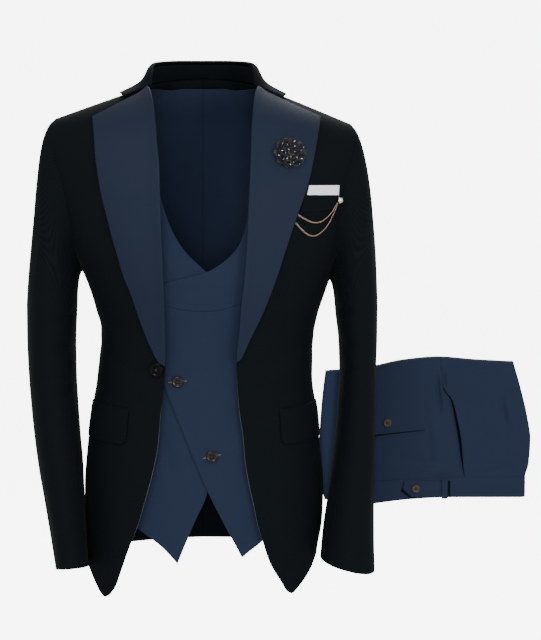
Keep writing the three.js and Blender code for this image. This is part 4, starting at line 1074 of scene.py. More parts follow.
def sleeve_grid(side, first, last, step):
    """Half a sleeve between two seam turns: it leaves the armhole, turns down over the head and follows the arm."""
    turn = lerp(first, last, shares(abs(last - first) * 60, step))[None]
    s = shares(190, step)[:, None]
    wrapped = np.where(turn < 0, turn + FULL_TURN, turn)
    start = armhole_rim(side, wrapped)
    end = sleeve_ring(side, np.zeros_like(turn), turn)
    below = sleeve_ring(side, np.full_like(turn, 0.13), turn)
    length = np.linalg.norm(end - start, axis=-1, keepdims=True)
    high = ((1 + np.cos(turn)) / 2)[..., None]
    reach, drop, fade = side.head
    outward = unit(stacked(side.sign, 0, lerp(-0.25, drop, high[..., 0])))
    start = start - outward * RIM_OVERLAP
    leave = outward * lerp(FOOT_REACH, reach, high)
    arrive = unit(below - end) * length
    s3 = s[..., None]
    h = s3 * s3 * (3 - 2 * s3)
    bend = leave * s3 * (1 - s3) ** lerp(2, fade, high * high) - arrive * s3 * s3 * (1 - s3)
    head = start * (1 - h) + end * h + bend
    t = shares(370, step)[1:, None]
    arm = sleeve_ring(side, t, turn)
    points = np.concatenate([head, arm])
    normals = normals_of(points, side.sign)
    signed = np.degrees(turn)
    relief = sum(
        soft_lines((signed + around) * SLEEVE_GIRTH, points[..., 2], SLEEVE_CREASES[side.name])
        for around in (-360, 0, 360)
    )
    relief = relief * smooth(np.arange(len(points))[:, None] / len(s), 0.15, 0.5)
    return points + normals * relief[..., None], normals


# Waistcoat

VEST_SHOULDER = 138
for side in SIDES:
    side.vest_armhole = (shoulder_line(side, VEST_SHOULDER), side.armhole[1] - 22, 82)
VEST_SIDE = math.pi
RIGHT.vest_hem = columns(
    "angle z",
    (10, -650.5), (13.4, -639), (18.6, -625), (26.6, -610.5), (31.5, -603), (50, -590), (90, -580), (180, -574),
)
LEFT.vest_hem = columns(
    "angle z", (16.5, -643), (21, -633), (26, -623.5), (31, -612), (50, -592), (90, -580), (180, -574)
)
for side in SIDES:
    side.vest_hem = track(side.vest_hem, "angle", "z")
SKIRT_EDGE = columns(
    "z x",
    (-643, 56), (-596, 31), (-548, 7), (-498, -14), (-451, -34), (-403, -55), (-380, -64), (-350, -71), (-301, -74),
)
YOKE_EDGE = columns(
    "at x z",
    (0, -74, -294), (0.1, -74, -272), (0.22, -50, -262.5), (0.34, -20, -254), (0.45, 5, -247), (0.54, 36, -227),
    (0.61, 53, -204), (0.68, 62, -170), (0.76, 68, -125), (0.84, 72, -80), (0.92, 76, -35), (1, 80, 0),
)
RIGHT_VEST_EDGE = columns(
    "at x z",
    (0, -36.5, -650.5), (0.1, -14, -597), (0.2, 7, -548), (0.3, 18, -480), (0.42, 22, -380), (0.52, 22, -300),
    (0.57, 18, -266), (0.61, 3, -246), (0.66, -24, -220), (0.72, -45, -186), (0.79, -61, -137), (0.87, -70, -90),
    (0.94, -76, -35), (1, -80, 0),
)
WAIST_SEAM = columns(
    "x z", (-74, -294), (-53, -296), (-31, -300), (-4, -302.5), (23, -301), (39, -297), (60, -291), (150, -286)
)
waist_seam = track(WAIST_SEAM, "x", "z")

# Creases of the waistcoat, as seen from the front: from and to x and z, then width, height and bow
VEST_CREASES = (
    (-40, -392, 60, -366, 6, -0.7, 4),
    (-20, -404, 66, -414, 7, -0.6, -4),
    (14, -490, 62, -470, 6, -0.6, 3),
    (0, -508, -60, -530, 7, -0.7, 4),
    (-60, -430, -20, -600, 9, -0.7, 6),
    (40, -420, 44, -600, 10, 0.7, -6),
    (-30, -330, -26, -380, 7, 0.5, 3),
    (30, -320, 44, -380, 8, -0.5, -3),
    (-60, -276, 30, -270, 7, -0.5, 3),
    (50, -250, 20, -286, 6, 0.4, 3),
    (100, -330, 140, -350, 9, -0.9, 4),
    (-100, -340, -140, -352, 9, -0.9, 4),
    (-90, -560, -84, -460, 10, 0.8, 4),
    (96, -556, 92, -450, 11, -0.8, 4),
)


def vest_relief(side, angle, z):
    x = side.sign * side.half(z) * np.abs(np.sin(angle)) ** SQUARENESS
    ahead = smooth(math.pi / 2 - angle, -0.35, 0.1)
    behind = smooth(angle, 1.9, 2.4) * smooth(math.pi - angle, 0.02, 0.3)
    return soft_lines(x, z, VEST_CREASES) * np.clip(ahead + behind, 0, 1)


def vest_depth(level):
    return lerp(VEST_DEPTH, SHOULDER_DEPTH, smooth(level, 0.86, 1))


def by_side(angle, of):
    """Takes values from the wearer's right where the signed angle is negative, and from the left elsewhere."""
    return np.where(angle < 0, of(RIGHT, np.abs(angle)), of(LEFT, np.abs(angle)))


def signed_level(angle, z):
    return by_side(angle, lambda side, a: level_of(side, a, z))


def signed_angle(x, z):
    x = np.asarray(x, float)
    return np.sign(x) * np.where(x < 0, seen(RIGHT, x, z)[0], seen(LEFT, x, z)[0])


def vest_spot(angle, level, lap=0.0):
    angle, level = np.broadcast_arrays(angle, level)
    right = on(RIGHT, np.abs(angle), level, vest_relief)
    left = on(LEFT, np.abs(angle), level, vest_relief)
    points, normals = both_sides(angle, right, left)
    return points - normals * (vest_depth(level) + lap)[..., None], normals


def waist_seam_level(angle):
    x = np.sign(angle) * by_side(angle, lambda side, a: side.half(-300.0) * np.sin(a) ** SQUARENESS)
    return signed_level(angle, waist_seam(x))


def vest_skirt_grid(step):
    """The left front below its waist seam, from its slanting edge round to the side seam."""
    v = shares(345, step)[:, None]
    u = (shares(250, step) ** 1.2)[None]
    z = lerp(-643, waist_seam(-74.0), v)
    start = signed_angle(track(SKIRT_EDGE, "z", "x")(z), z)
    angle = lerp(start, math.pi / 2, u)
    hem = signed_level(angle, LEFT.vest_hem(np.degrees(angle)))
    return vest_spot(angle, lerp(hem, waist_seam_level(angle), v))


def vest_front_grid(side, edge, bottom, low, crown, lap, step):
    """A front that reaches the shoulder: rows run from its edge to the side seam as far as the share `low`, then to
    the armhole. `bottom` gives the level of its lowest row at each angle."""
    v = shares(700 if low else 420, step)[:, None]
    u = (shares(250, step) ** 1.2)[None]
    last = np.clip((v - crown) / (1 - crown), 0, 1)
    z = track(edge, "at", "z")(v)
    start = signed_angle(track(edge, "at", "x")(v), z)
    start_level = lerp(signed_level(start, z), 1, last)
    foot_level = armhole(side, VEST_SIDE, side.vest_armhole)[1]
    turn = lerp(VEST_SIDE, TOP_OF_OVAL, np.clip((v - low) / (1 - low), 0, 1))
    rim_angle, rim_level = armhole(side, turn, side.vest_armhole)
    seam_end = side.sign * math.pi / 2
    on_seam = lerp(bottom(np.array(seam_end)), foot_level, v / (low or 1))
    end_angle = side.sign * np.where(v < low, math.pi / 2, rim_angle)
    end_level = np.where(v < low, on_seam, lerp(rim_level, 1, last))
    fade = (1 - np.clip(v / (low or 0.4), 0, 1)) ** 2
    angle = lerp(start, end_angle, u)
    bend = bottom(angle) - lerp(bottom(start), bottom(end_angle), u)
    return vest_spot(angle, lerp(start_level, end_level, u) + bend * fade, lap(u, v))


def no_lap(u, v):
    return np.zeros(np.broadcast(u, v).shape)


def under_lap(u, v):
    return VEST_LAP * np.clip((0.85 - u) / 0.3, 0, 1) * np.clip((0.86 - v) / 0.14, 0, 1)


def right_hem(angle):
    return signed_level(angle, RIGHT.vest_hem(np.degrees(-angle)))


# Trim of the jacket and the waistcoat


def on_chest(x, z, relief=body_relief):
    """A place seen from the front on either side of the middle."""
    x, z = np.broadcast_arrays(np.asarray(x, float), np.asarray(z, float))
    return both_sides(x, on_front(RIGHT, x, z, relief), on_front(LEFT, x, z, relief))


def patch_grid(low, high, step, tall, wide):
    """A patch of cloth on the form between two seen lines, each from (x, z) to (x, z)."""
    v = shares(tall, step)[:, None]
    u = shares(wide, step)[None]
    corners = [lerp(line[0][i], line[1][i], u) for line in (low, high) for i in (0, 1)]
    return on_chest(lerp(corners[0], corners[2], v), lerp(corners[1], corners[3], v))


FLAP = SimpleNamespace(start=math.radians(38), end=math.radians(82), top=-437, foot=-487, rise=6, wall=2.0, lift=0.5)
FLAP_CORNER = 11  # radius of its lower corners
FLAP_WIDE = 122
WELT_TOP = -144.5
WELT_FOOT = -167


def flap_grid(side, step):
    """A hip pocket flap between two angles round the body, with rounded lower corners."""
    v = shares(50, step * 0.6)[:, None]
    u = shares(FLAP_WIDE, step * 0.6)[None]
    drop = np.clip(1 - v * (FLAP.top - FLAP.foot) / FLAP_CORNER, 0, 1)
    inset = FLAP_CORNER * (1 - np.sqrt(1 - drop * drop * 0.98)) / FLAP_WIDE
    across = inset + u * (1 - 2 * inset)
    angle = lerp(FLAP.start, FLAP.end, across)
    return on(side, angle, level_of(side, angle, lerp(FLAP.foot, FLAP.top, v) + FLAP.rise * across))


def rotated(x, y, angle):
    """Places turned about the middle of their plane."""
    c, s = math.cos(angle), math.sin(angle)
    return x * c - y * s, x * s + y * c


def standing(local, place):
    """Turns points (across, up, out) into places on the cloth: out along its normal, across as level as it can be."""
    point, normal = (np.asarray(part, float) for part in place)
    across = unit(np.array([1.0, 0, 0]) - normal * normal[0])
    up = np.cross(normal, across)
    return point + local[..., :1] * across + local[..., 1:2] * up + local[..., 2:] * normal


# A button's base and rim, in shares of its radius and its thickness
BUTTON_RIM = (
    (0.4, 0), (0.84, 0), (0.95, 0.1), (1, 0.34), (0.99, 0.62), (0.95, 0.84), (0.88, 0.97), (0.8, 1), (0.72, 0.95),
    (0.65, 0.84), (0.6, 0.77),
)
BUTTON_FACE = 0.74  # height of the dished face, in the same shares
HOLE_PLACE = 0.27
HOLE_SIZE = 0.13
HOLE_CORNERS = (45, 135, 225, 315)


def button_arrays(radius, thick, around=72):
    """A turned button: a flat base, a round rim, a dished face with four drilled holes."""
    face = np.stack([np.linspace(0.57, 0.03, 28), np.full(28, BUTTON_FACE)], -1)
    profile = np.concatenate([BUTTON_RIM, face])
    turn = np.arange(around) * FULL_TURN / around
    r = profile[:, :1] * radius
    x, y = r * np.cos(turn), r * np.sin(turn)
    height = np.broadcast_to(profile[:, 1:] * thick, x.shape).copy()
    on_face = (np.arange(len(profile)) >= len(BUTTON_RIM))[:, None]
    hole_at, hole_size = HOLE_PLACE * radius, HOLE_SIZE * radius
    for corner in HOLE_CORNERS:
        away = np.hypot(x - hole_at * math.cos(math.radians(corner)), y - hole_at * math.sin(math.radians(corner)))
        height -= on_face * thick * 0.5 * (1 - smooth(away, hole_size * 0.6, hole_size * 1.15))
    rings = np.stack([x, y, height], -1)
    return round_arrays(rings, np.zeros(3), UP * thick * BUTTON_FACE)


THREAD_RADIUS = 0.3


def thread_arrays(radius, thick):
    """Two crossed loops of thread through the four holes."""
    reach = HOLE_PLACE * radius
    t = np.linspace(-1, 1, 13)
    parts = []
    for turn in HOLE_CORNERS[:2]:
        direction = np.array([math.cos(math.radians(turn)), math.sin(math.radians(turn)), 0])
        for beside in (-0.32, 0.32):
            across = np.array([-direction[1], direction[0], 0]) * beside
            high = thick * (0.98 - 0.5 * t**6)[:, None] * UP
            path = t[:, None] * reach * direction + across + high
            parts.append(swept_arrays(path, UP, THREAD_RADIUS, 6))
    return joined(parts)


def buttonhole_arrays(length, tilt):
    """A worked buttonhole: a slim lens of close stitches that meets in a point at each end."""
    count = 84
    turn = np.arange(count) * FULL_TURN / count
    c, s = np.cos(turn), np.sin(turn)
    ring = np.stack([length / 2 * c, 1.3 * np.sign(s) * s * s, np.full(count, 0.3)], -1)
    stitch = 0.4 + 0.12 * (np.arange(count) % 2)
    vertices, faces = swept_arrays(ring, UP, stitch, 8, closed=True, flat=0.8)
    x, y, out = vertices.T
    return stacked(*rotated(x, y, math.radians(tilt)), out), faces


def set_on_cloth(name, arrays, place, lift, material, slot, node=None):
    """Stands a small part on the cloth."""
    vertices, faces = arrays
    point, normal = place
    obj = make_mesh(name, standing(vertices, (point + normal * lift, normal)), faces, MATERIALS[material])
    return dress(obj, slot, *([node] if node else []))


def sew_button(node, size, place, lift, material, slot, around=72):
    """A button, its radius and thickness given, and the thread through its holes; both are named after its solid."""
    set_on_cloth(f"{node}_horn", button_arrays(*size, around), place, lift, material, slot, node)
    set_on_cloth(f"{node}_thread", thread_arrays(*size), place, lift, "thread", "black_ribbon")


STUD = SimpleNamespace(place=(183.9, -151.7), radius=4.5, lift=6.4)
SWAGS = {
    "chain_upper": (
        (181.4, -155.4), (175.2, -166), (168.1, -174), (157.9, -180.6), (147.7, -181.1), (137.5, -176.6),
        (128.3, -171),
    ),
    "chain_lower": (
        (182.4, -155.9), (177.8, -167), (175.2, -172), (170.1, -182.1), (162, -192.2), (151.8, -199),
        (142.6, -198.2), (133.4, -191.2), (124.7, -181.6),
    ),
}
CHAIN_LIFT = 3.4
LINK_PITCH = 2.5
LINK = SimpleNamespace(half_length=1.7, half_width=0.8, wire=0.4, twist=math.radians(38))


def read_between(places, at, rows):
    """Points or directions given at rising places, read at other places between them."""
    return np.stack([np.interp(places, at, rows[:, axis]) for axis in range(3)], -1)


def chain_arrays(seen_points):
    """A curb chain along a swag: oval links a pitch apart, each turned a little out of the plane of the last."""
    points, normals = on_chest([x for x, _ in seen_points], [z for _, z in seen_points])
    knots = [(p + n * CHAIN_LIFT)[None] for p, n in zip(points, normals)]
    knot_at = np.linspace(0, len(knots) - 1, 300)
    route = bend_through(knots, np.linspace(0, 1, len(knot_at)))[0]
    along = np.concatenate([[0], np.cumsum(np.linalg.norm(np.diff(route, axis=0), axis=1))])
    count = int(along[-1] / LINK_PITCH)
    stations = (np.arange(count) + 0.5) * along[-1] / count
    middle = read_between(stations, along, route)
    tangent = unit(read_between(stations, along, np.gradient(route, axis=0)))
    out = read_between(np.interp(stations, along, knot_at), np.arange(len(knots)), normals)
    turn = (np.arange(14) * FULL_TURN / 14)[:, None]
    parts = []
    for k in range(count):
        side_way = unit(np.cross(tangent[k], out[k]))
        lift = np.cross(side_way, tangent[k])
        across = side_way * math.cos(LINK.twist) + lift * math.sin(LINK.twist)
        normal = np.cross(tangent[k], across)
        ring = middle[k] + tangent[k] * LINK.half_length * np.cos(turn) + across * LINK.half_width * np.sin(turn)
        parts.append(swept_arrays(ring, normal, LINK.wire, 6, closed=True))
    return joined(parts)


def ball_arrays(radius, stretch=1.0, rows=10, cols=16, lobes=0, lobe_height=0.0):
    """A ball, or a bead where it is stretched; lobes raise soft segments round it."""
    turn = np.arange(cols)[None] * FULL_TURN / cols
    down = (np.arange(1, rows) * math.pi / rows)[:, None]
    r = radius * (1 + lobe_height * np.cos(lobes * turn) * np.sin(down) ** 2)
    out = r * np.sin(down)
    rings = stacked(out * np.cos(turn), out * np.sin(turn), -r * np.cos(down) * stretch)
    return round_arrays(rings, -UP * radius * stretch, UP * radius * stretch)


FLOWER = SimpleNamespace(x=117, z=-88.5, radius=22.5)
# Rounds of petals from the outside in: how many, how long, how wide, height of the base and of the tip, first turn
PETALS = (
    (10, 22.0, 13.0, 1.2, 4.4, 0.0),
    (9, 18.8, 12.0, 2.6, 8.0, 0.3),
    (8, 15.0, 10.4, 4.0, 10.8, 0.15),
    (6, 10.5, 8.5, 5.2, 12.6, 0.5),
    (4, 6.0, 6.0, 6.2, 13.2, 0.2),
)
PETAL_WALL = 0.35


def petals_arrays():
    """A ribbon flower: rounds of cupped petals whose edges ripple, each a thin wall."""
    u = np.linspace(-1, 1, 13)[None]
    v = np.linspace(0, 1, 14)[:, None]
    parts = []
    for count, long, wide, base, tip, first in PETALS:
        for k in range(count):
            turn = (k + first) * FULL_TURN / count
            uneven = 1 + 0.08 * math.sin(5.3 * k + 9 * first)
            swell = np.sin(math.pi * np.clip(v * 0.62 + 0.08, 0, 1))
            half = wide / 2 * (0.25 + 0.75 * swell) * np.sqrt(1 - 0.35 * v**8)
            out = long * uneven * v * (1 - 0.10 * u * u * v)
            side_way = half * u
            cup = 0.16 * wide * u * u * (0.4 + v)
            ripple = 0.5 * np.sin(7 * u + 3 * k) * v**3
            rise = lerp(base, tip, v**1.6) + cup + ripple
            local = stacked(*rotated(out, side_way, turn), rise)
            parts.append(wall_arrays(local, normals_of(local, 1), PETAL_WALL, 0.0, gap=0.0, bulge=0.1)[:2])
    return joined(parts)


def beads_arrays():
    """Pale glass beads scattered over the flower by the golden angle, each lying along its own petal."""
    golden = math.pi * (3 - math.sqrt(5))
    count = 19
    parts = []
    for k in range(count):
        turn = golden * k + 0.35 * math.sin(2.3 * k)
        away = FLOWER.radius * 0.86 * math.sqrt((k + 0.6) / count)
        high = 5.2 + 8.4 * math.sqrt(max(0.0, 1 - (away / FLOWER.radius) ** 2))
        vertices, faces = ball_arrays(0.62 + 0.2 * math.sin(3 * k), 1.6, 7, 9)
        laid = stacked(*rotated(vertices[:, 2], vertices[:, 0], turn + 0.6 * math.sin(k)), vertices[:, 1])
        parts.append((laid + (away * math.cos(turn), away * math.sin(turn), high), faces))
    return joined(parts)


PIPING_RADIUS = 0.42
RIGHT.piping = (-616, -432)
LEFT.piping = (-632, -384)


def piping_arrays(side):
    """A hair-thin piping that stands just out of the front's edge, under its face, and tapers at both ends."""
    z = np.linspace(*side.piping, 160)
    points, normals = on_front(side, side.edge(z) + 0.1, z)
    taper = np.sin(math.pi * np.linspace(0.02, 0.98, len(z))) ** 0.3
    return swept_arrays(points - normals * JACKET_WALL * 0.62, normals, PIPING_RADIUS * taper, 8)


VEST_BUTTONS = ((-35.5, -398.5, 6), (12.5, -500.5, 12))  # x, z and the tilt of the buttonhole
VEST_BUTTONHOLE = 26  # its length
VEST_BUTTON_SIZE = (8.0, 3.4)  # radius and thickness
JACKET_BUTTON = (-63, -381)
JACKET_BUTTON_SIZE = (10, 4)


# Trousers, folded flat and stood waistband down

FACE = 64  # y of the outer face of the front layer
CLOTH = 1.8
LEFT_END = 205
fold_top = track(
    columns("x z", (205, -402), (246, -393), (289, -384), (335, -380), (389, -384), (443, -387)),
    "x",
    "z",
)
band_top = track(columns("x z", (205, -560), (247, -558), (355, -553), (462, -552)), "x", "z")
band_foot = track(columns("x z", (205, -598), (247, -592), (297, -586), (355, -583), (463, -583)), "x", "z")
side_seam = track(
    columns(
        "up x",
        (0, 376), (0.06, 373.5), (0.29, 370), (0.49, 363.5), (0.64, 356.4), (0.74, 344.6), (0.86, 341.4), (1, 339),
    ),
    "up",
    "x",
)
right_edge = track(columns("up x", (0, 463), (0.11, 468), (0.32, 470), (0.52, 465), (0.77, 455), (1, 444)), "up", "x")
TURN_BACK = 9
TROUSER_BUTTON_SIZE = (5.8, 2.6)
MOUTH_TOP = 0.79  # the pocket's mouth runs from the waistband to this share of the way up
BEHIND_BAND = -0.02  # the panels run this far on behind the waistband
# Creases of the folded trousers, as seen from the front: from and to x and z, then width, height and bow
TROUSER_CREASES = (
    (333, -404, 339, -466, 3.2, -4.4, -1),
    (344, -398, 347, -432, 2.6, -2.6, 1),
    (338.5, -400, 343, -450, 2.6, 1.8, 1),
    (327, -430, 331, -500, 5.0, 0.9, 2),
    (322, -480, 326, -548, 5.0, -1.1, -2),
    (427, -438, 434, -480, 4.0, -2.8, 1),
    (436, -430, 444, -486, 5.0, 1.5, 2),
    (366, -552, 460, -500, 9.0, 1.4, 6),
    (380, -556, 462, -528, 8.0, -1.1, 5),
    (300, -540, 366, -556, 7.0, 1.2, -4),
    (250, -512, 356, -536, 8.0, -0.7, 5),
    (212, -520, 290, -552, 8.0, 0.7, -5),
    (216, -420, 300, -400, 9.0, 0.6, 5),
    (378, -400, 440, -430, 9.0, 0.6, -6),
    (392, -470, 440, -520, 10.0, -0.5, 6),
)


def curl(distance):
    """How far the cloth turns back at a distance from its folded edge: a quarter round."""
    t = np.clip(1 - distance / TURN_BACK, 0, 1)
    return TURN_BACK * (1 - np.sqrt(1 - t * t * 0.98))


def hip_spot(x, z, proud=0.0):
    """A place on the front layer, as seen from the front; it swells between its edges and turns back at its folds."""
    up = np.clip((z - band_top(x)) / (fold_top(x) - band_top(x)), 0, 1)
    folds = curl(fold_top(x) - z) + curl(right_edge(up) - x)
    pillow = 2.4 * np.sin(math.pi * up) * np.sin(math.pi * (x - LEFT_END) / 264)
    crease = soft_lines(x, z, TROUSER_CREASES) * smooth(up, 0, 0.06)
    return stacked(x, FACE - pillow + folds - proud - crease, z)


def hip_grid(start_x, end_x, step, mouth):
    """A part of the front layer between two edges, from the waistband to the fold at the top."""
    even = shares(175, step * 0.6)[:, None]
    up = lerp(BEHIND_BAND, 1, lerp(even, np.sin(even * math.pi / 2), 0.5))
    share = shares(150, step * 0.6)[None]
    x = lerp(start_x(up), end_x(up), share)
    points = hip_spot(x, lerp(band_top(x), fold_top(x), up), mouth(share, up))
    return points, normals_of(points, 1)


def open_mouth(share, up):
    """The pocket's mouth stands proud of the panel behind it, most at its middle."""
    return 2.6 * np.exp(-((share / 0.10) ** 2)) * np.sin(math.pi * np.clip(up / MOUTH_TOP, 0, 1)) ** 0.7


def under_mouth(share, up):
    """Behind the mouth the cloth sinks, and so does a pressed line along the rest of the seam."""
    depth = 2.4 * np.exp(-(((1 - share) / 0.075) ** 2)) + 1.8 * np.exp(-(((1 - share) / 0.025) ** 2))
    sunk = -depth * np.sin(math.pi * np.clip(up / MOUTH_TOP, 0, 1)) ** 0.8
    return sunk - 0.5 * np.exp(-(((1 - share) / 0.03) ** 2))


def mouth_shadow_strip_grid(step):
    """A near-black sliver beside the seam, widest low down, that paints the shadow in the open mouth of the side
    pocket.
    """
    even = shares(110, step)[:, None]
    up = lerp(0.04, MOUTH_TOP - 0.05, even)
    wide = 0.2 + 0.9 * even + 3.2 * np.sin(math.pi * even**0.8) ** 1.3
    x = side_seam(up) - wide * (1 - shares(4, step)[None])
    share = (x - LEFT_END) / (side_seam(up) - LEFT_END)
    points = hip_spot(x, lerp(band_top(x), fold_top(x), up), under_mouth(share, up) + 0.35)
    return points, normals_of(points, 1)


BAND_RISE = 1.2
BAND_WALL = 3.0
BAND_RIGHT = 463
BAND_SEAM = 376  # a faint upright seam in the waistband


def band_spot(x, z, rounding=0.0):
    seam = 0.5 * np.exp(-(((x - BAND_SEAM) / 1.2) ** 2))
    return stacked(x, FACE - BAND_RISE + curl(BAND_RIGHT - x) + rounding + seam, z)


def tab_spot(x, z):
    """On the band; the tab's top edge sinks into the band's seam, and so does the end that runs under the loop."""
    return band_spot(x, z, 1.6 * smooth(z, -564, -558.5) + 1.3 * np.exp(-(((x - 341) / 2.4) ** 2)))


def band_grid(step):
    up = shares(28, step * 0.6)[:, None]
    x = lerp(LEFT_END, BAND_RIGHT, shares(258, step * 0.7))[None]
    points = band_spot(x, lerp(band_foot(x), band_top(x) - 0.6, up), 0.8 * (2 * up - 1) ** 4)
    return points, normals_of(points, 1)


# Small pieces on the folded trousers, and the near-black strips that paint the shadow in a pocket slit, under the
# tab's point and in the slot beside the loop: the surface they lie on, their corners from the lower left as seen from
# the front, the step of their grid, their height and width, and how far their left end is pointed
SEWN = {
    "tab": (tab_spot, ((299, -582), (343, -582), (343, -558.5), (289, -558.5)), 1.6, 24, 50, 8),
    "belt_loop": (band_spot, ((342, -584.5), (350.6, -584.5), (350.6, -556), (342, -556)), 1.2, 29, 9),
    "back_pocket_welt": (hip_spot, ((246.4, -498.5), (316, -488.6), (316, -486), (246, -494.6)), 1.0, 4, 69),
    # a near-black strip that paints the shadow in the back pocket's slit
    "back_pocket_painted_shadow": (hip_spot, ((245, -495.4), (318, -485.6), (318, -485), (245, -492.4)), 1.0, 3, 73),
    # a near-black strip that paints the shadow under the tab's pointed end
    "tab_painted_shadow": (band_spot, ((295.6, -583.4), (306, -583.4), (306, -564), (288, -564)), 1.2, 19, 14, 8),
    # a near-black strip that paints the shadow in the slot beside the belt loop
    "loop_painted_shadow": (band_spot, ((349, -582.6), (355, -582.8), (354.4, -558.5), (349, -558.5)), 1.2, 24, 6),
}


def sewn_grid(spot_of, corners, step, tall, wide, point_left=0.0):
    """A small piece on the layers between four corners from the lower left, as seen; its left end may be pointed."""
    foot_left, foot_right, top_right, top_left = corners
    v = shares(tall, step)[:, None]
    u = shares(wide, step)[None]
    x = lerp(lerp(foot_left[0], foot_right[0], u), lerp(top_left[0], top_right[0], u), v)
    z = lerp(lerp(foot_left[1], foot_right[1], u), lerp(top_left[1], top_right[1], u), v)
    x = x - point_left * (1 - np.abs(2 * v - 1)) * (1 - u)
    points = spot_of(x, z)
    return points, normals_of(points, 1)


HIPS = (
    (212, -560), (211, -500), (210, -440), (213, -412), (224, -406), (260, -398), (300, -391), (340, -388),
    (390, -391), (430, -394), (439, -400), (447, -425), (456, -465), (460, -500), (458, -540), (455, -574),
    (449, -580), (355, -580), (300, -582), (225, -590), (214, -584),
)
LEGS = (
    (174, -585), (170, -540), (168, -500), (171, -450), (176, -406), (179.5, -403), (240, -399), (300, -396),
    (360, -393), (425, -394), (436, -400), (445, -440), (452, -500), (450, -560), (446, -572), (436, -577),
    (350, -578), (260, -582), (182, -590),
)


def folded_arrays(outline, start_y, end_y, folds, pinch):
    """Folded layers as one stack: the outline, rounded between its points, drawn in where two folds meet (the
    deeper grooves) and a little where the two plies of one fold meet."""
    knots = np.array(outline, float)
    step = np.linspace(0, len(knots), 10 * len(knots), endpoint=False)
    k, w = step.astype(int), (step % 1)[:, None]
    a, b, c, d = (knots[(k + shift) % len(knots)] for shift in (-1, 0, 1, 2))
    rounded = b + 0.5 * w * (c - a + w * (2 * a - 5 * b + 4 * c - d + w * (3 * (b - c) + d - a)))
    ring = lerp(b * (1 - w) + c * w, rounded, 0.6)
    middle = ring.mean(0)
    reach = np.abs(ring - middle).max(0)
    plies = 2 * folds
    per_ply = 9
    rings = []
    for level in np.linspace(0, 1, plies * per_ply + 1):
        within_ply = abs(math.sin(math.pi * level * plies))
        within_fold = abs(math.sin(math.pi * level * folds))
        inset = pinch * (0.55 * (1 - within_fold**0.5) + 0.45 * (1 - within_ply**0.5))
        drawn = middle + (ring - middle) * (1 - inset / reach)
        rings.append(stacked(drawn[:, 0], lerp(start_y, end_y, level), drawn[:, 1]))
    inward = (0.004, 0.012, 0.03, 0.08, 0.25, 0.5, 0.75, 0.9, 0.985)
    ends = [lerp(rings[0], rings[0].mean(0), share) for share in reversed(inward)]
    far_ends = [lerp(rings[-1], rings[-1].mean(0), share) for share in inward]
    return round_arrays(np.stack([*ends, *rings, *far_ends]), rings[0].mean(0), rings[-1].mean(0))


def layer_places(vertices):
    return vertices[:, [0, 2]]


# Settings that a user would change


class SuitSizes(bpy.types.PropertyGroup):
    fine_step: bpy.props.FloatProperty(
        name="Fine step", description="Grid of the cloth that shows most", default=0.0036, unit="LENGTH"
    )
    broad_step: bpy.props.FloatProperty(
        name="Broad step", description="Grid of the cloth at the back and inside", default=0.0046, unit="LENGTH"
    )


class SuitColours(bpy.types.PropertyGroup):
    black_cloth: bpy.props.FloatVectorProperty(
        name="Black cloth", description="Worsted of the jacket",
        default=(0.0024, 0.0036, 0.0044), size=3, subtype="COLOR",
    )
    navy_cloth: bpy.props.FloatVectorProperty(
        name="Navy cloth", description="Facings, waistcoat and trousers",
        default=(0.0133, 0.0205, 0.0411), size=3, subtype="COLOR",
    )


def steps(context):
    sizes = context.scene.suit_sizes
    return sizes.fine_step / MM, sizes.broad_step / MM


class PieceOperator:
    bl_options = {"REGISTER", "UNDO"}


class SUIT_OT_materials(PieceOperator, bpy.types.Operator):
    """Builds the shader groups and the finishes"""

    bl_idname = "suit.materials"
    bl_label = "Finishes"

    def execute(self, context):
        build_groups()
        build_materials(context.scene.suit_colours)
        return {"FINISHED"}


class SUIT_OT_jacket_body(PieceOperator, bpy.types.Operator):
    """Cuts the jacket's fronts, side bodies and backs"""

    bl_idname = "suit.jacket_body"
    bl_label = "Jacket body"

    def execute(self, context):
        fine, broad = steps(context)
        black = MATERIALS["black worsted"]
        for side in SIDES:
            panels = {
                "front": front_grid(side, fine),
                "side": side_grid(side, broad),
                "back": back_grid(
                    side, side.armhole, BACK_SEAM_TURN, CROWN_BACK, side.hem, NAPE, np.zeros_like, broad, body_relief
                ),
            }
            for part, grid in panels.items():
                node = f"jacket_{part}_{side.name}"
                cloth(f"{node}_cloth", grid, 0.0, -JACKET_WALL, black, "black_worsted", node)
        return {"FINISHED"}


class SUIT_OT_lapels(PieceOperator, bpy.types.Operator):
    """Cuts the two peak lapels"""

    bl_idname = "suit.lapels"
    bl_label = "Lapels"

    def execute(self, context):
        fine, _ = steps(context)
        for side in SIDES:
            node = f"jacket_lapel_{side.name}"
            cloth(
                f"{node}_cloth", lapel_grid(side, fine * 0.8), LAPEL_LIFT + LAPEL_WALL, LAPEL_LIFT,
                MATERIALS["navy facing"], "navy_facing", node, gap=0.0,
            )
        return {"FINISHED"}


class SUIT_OT_collar(PieceOperator, bpy.types.Operator):
    """Cuts the collar's leaf and stand"""

    bl_idname = "suit.collar"
    bl_label = "Collar"

    def execute(self, context):
        fine, _ = steps(context)
        for part, grid in {"leaf": collar_leaf_grid(fine), "stand": collar_stand_grid(fine)}.items():
            node = f"jacket_collar_{part}"
            black = MATERIALS["black worsted"]
            cloth(f"{node}_cloth", grid, 0.0, -COLLAR_WALL, black, "black_worsted", node, gap=0.0)
        return {"FINISHED"}


